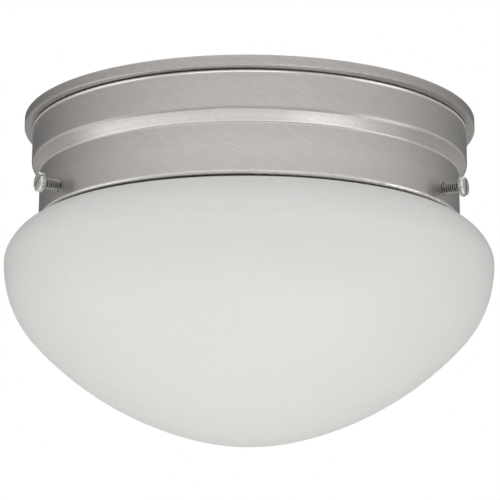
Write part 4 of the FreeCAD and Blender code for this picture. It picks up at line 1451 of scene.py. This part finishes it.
@dataclass
class Studio:
    """Pale floor, white surroundings, soft lights and the camera.

    Attributes:
        camera_place: Where the camera stands, in metres.
        pitch: How far it looks up, in degrees.
        yaw: How far it is turned to the left, in degrees.
        roll: How far it leans, in degrees.
        lens: Focal length for the 36 mm sensor.
        floor_height: Height of the floor in metres.
        floor_radius: Radius of the floor in metres.
        low_light: Strength of the surroundings low down.
        high_light: Strength of the surroundings high up.
        low_and_high: Upward parts of a direction between which the one turns into the other.
        front: Direction of the bright side.
        side_shade: Share of the light that is missing at the far side, near the level.
        shade_fall: How steeply the shade grows towards the far side; 1 is even.
        shade_height: Upward part of a direction where the shade is deepest.
        shade_reach: How far above and below that it begins and ends to fade.
        lights: The soft lights.
    """

    camera_place: tuple[float, float, float] = (-0.01895, -0.81628, -0.2459)
    pitch: float = 12.73
    yaw: float = -1.36
    roll: float = 0.23
    lens: float = 124.4
    floor_height: float = -0.9
    floor_radius: float = 30.0
    low_light: float = 1.36
    high_light: float = 0.64
    low_and_high: tuple[float, float] = (-0.1, 0.55)
    front: tuple[float, float, float] = (0.05, -0.999, 0.0)
    side_shade: float = 0.92
    shade_fall: float = 1.3
    shade_height: float = 0.3
    shade_reach: tuple[float, float] = (0.15, 0.6)
    lights: tuple[Softbox, ...] = (
        Softbox("front_low_light", (-0.16, -0.80, -0.77), (0, 0, -0.03), 0.9, 0.78, 0.22),
        Softbox("left_low_light", (-0.58, -0.17, -0.62), (0, 0, -0.05), 0.58, 0.64),
        Softbox("right_low_light", (0.38, -0.32, -0.74), (0, 0, -0.05), 0.44, 0.66),
        Softbox("left_fill_light", (-0.85, -0.12, -0.38), (0, 0, -0.10), 0.6, 0.50),
        Softbox("right_fill_light", (0.80, -0.32, -0.34), (0, 0, -0.10), 0.5, 0.60),
        Softbox("top_light", (-0.12, -0.75, 0.95), (0, 0, -0.05), 1.3, 2.6, 0.22),
        Softbox("bounce_light", (0.0, -0.5, -0.3), (0, -0.45, -0.9), 1.4, 3.9, 1.0),
    )

    def build_surroundings(self) -> None:
        """Make the world: white to the camera; for the rest brighter low down and in front."""
        world = bpy.data.worlds.new("studio")
        bpy.context.scene.world = world
        world.use_nodes = True
        tree = world.node_tree
        tree.nodes.clear()
        way = add_node(tree, "ShaderNodeTexCoord").outputs["Generated"]
        height = add_node(tree, "ShaderNodeSeparateXYZ", {0: way}).outputs["Z"]
        level = add_node(
            tree,
            "ShaderNodeMapRange",
            {
                "Value": height,
                "From Min": self.low_and_high[0],
                "From Max": self.low_and_high[1],
                "To Min": self.low_light,
                "To Max": self.high_light,
            },
        )
        facing = add_node(
            tree, "ShaderNodeVectorMath", {0: way, 1: self.front}, operation="DOT_PRODUCT"
        )
        turned = add_node(
            tree,
            "ShaderNodeMapRange",
            {
                "Value": facing.outputs["Value"],
                "From Min": -1.0,
                "From Max": 1.0,
                "To Min": 1.0,
                "To Max": 0.0,
            },
        )
        side = add_node(
            tree,
            "ShaderNodeMath",
            {0: turned.outputs["Result"], 1: self.shade_fall},
            operation="POWER",
        )
        side = add_node(
            tree, "ShaderNodeMath", {0: side.outputs[0], 1: self.side_shade}, operation="MULTIPLY"
        )
        lift = add_node(
            tree, "ShaderNodeMath", {0: height, 1: self.shade_height}, operation="SUBTRACT"
        )
        away = add_node(tree, "ShaderNodeMath", {0: lift.outputs[0]}, operation="ABSOLUTE")
        band = add_node(
            tree,
            "ShaderNodeMapRange",
            {
                "Value": away.outputs[0],
                "From Min": self.shade_reach[0],
                "From Max": self.shade_reach[1],
                "To Min": 1.0,
                "To Max": 0.0,
            },
        )
        shade = add_node(
            tree,
            "ShaderNodeMath",
            {0: side.outputs[0], 1: band.outputs["Result"]},
            operation="MULTIPLY",
        )
        rest = add_node(tree, "ShaderNodeMath", {0: 1.0, 1: shade.outputs[0]}, operation="SUBTRACT")
        strength = add_node(
            tree,
            "ShaderNodeMath",
            {0: level.outputs["Result"], 1: rest.outputs[0]},
            operation="MULTIPLY",
        )
        white = linear("#FFFFFF")
        soft = add_node(
            tree, "ShaderNodeBackground", {"Color": white, "Strength": strength.outputs[0]}
        )
        plain = add_node(tree, "ShaderNodeBackground", {"Color": white, "Strength": 1.0})
        seen = add_node(tree, "ShaderNodeLightPath").outputs["Is Camera Ray"]
        both = add_node(
            tree, "ShaderNodeMixShader", {0: seen, 1: soft.outputs[0], 2: plain.outputs[0]}
        )
        add_node(tree, "ShaderNodeOutputWorld", {"Surface": both.outputs[0]})

    def build_floor(self) -> None:
        """Lay the pale floor far below the light."""
        work = bmesh.new()
        bmesh.ops.create_circle(work, cap_ends=True, segments=96, radius=self.floor_radius)
        bmesh.ops.translate(work, verts=work.verts[:], vec=(0, 0, self.floor_height))
        floor = loose_object("floor", work)
        floor.data.materials.append(FLOOR_PAINT.material())

    def build_camera(self) -> None:
        """Stand the camera where the photograph was taken."""
        data = bpy.data.cameras.new("camera")
        data.lens = self.lens
        data.sensor_width = 36.0
        data.clip_start = 0.01
        item = bpy.data.objects.new("camera", data)
        turn = (
            Matrix.Rotation(math.radians(self.yaw), 4, "Z")
            @ Matrix.Rotation(math.radians(90 + self.pitch), 4, "X")
            @ Matrix.Rotation(math.radians(self.roll), 4, "Z")
        )
        item.matrix_world = Matrix.Translation(self.camera_place) @ turn
        bpy.context.scene.collection.objects.link(item)
        bpy.context.scene.camera = item

    def build(self) -> None:
        """Set up surroundings, floor, lights and camera."""
        self.build_surroundings()
        self.build_floor()
        for light in self.lights:
            light.build()
        self.build_camera()
        bpy.context.scene.view_settings.view_transform = "Standard"


def main() -> None:
    """Build the light's looks and the studio round it."""
    logging.basicConfig(level=logging.INFO, format="%(name)s: %(message)s")
    Canopy().build()
    Thumbscrews().build()
    Shade().build()
    for side in Side:
        Lampholder(side).build()
        Lamp(side).build()
    Leads().build()
    Studio().build()


if __name__ == "__main__":
    main()
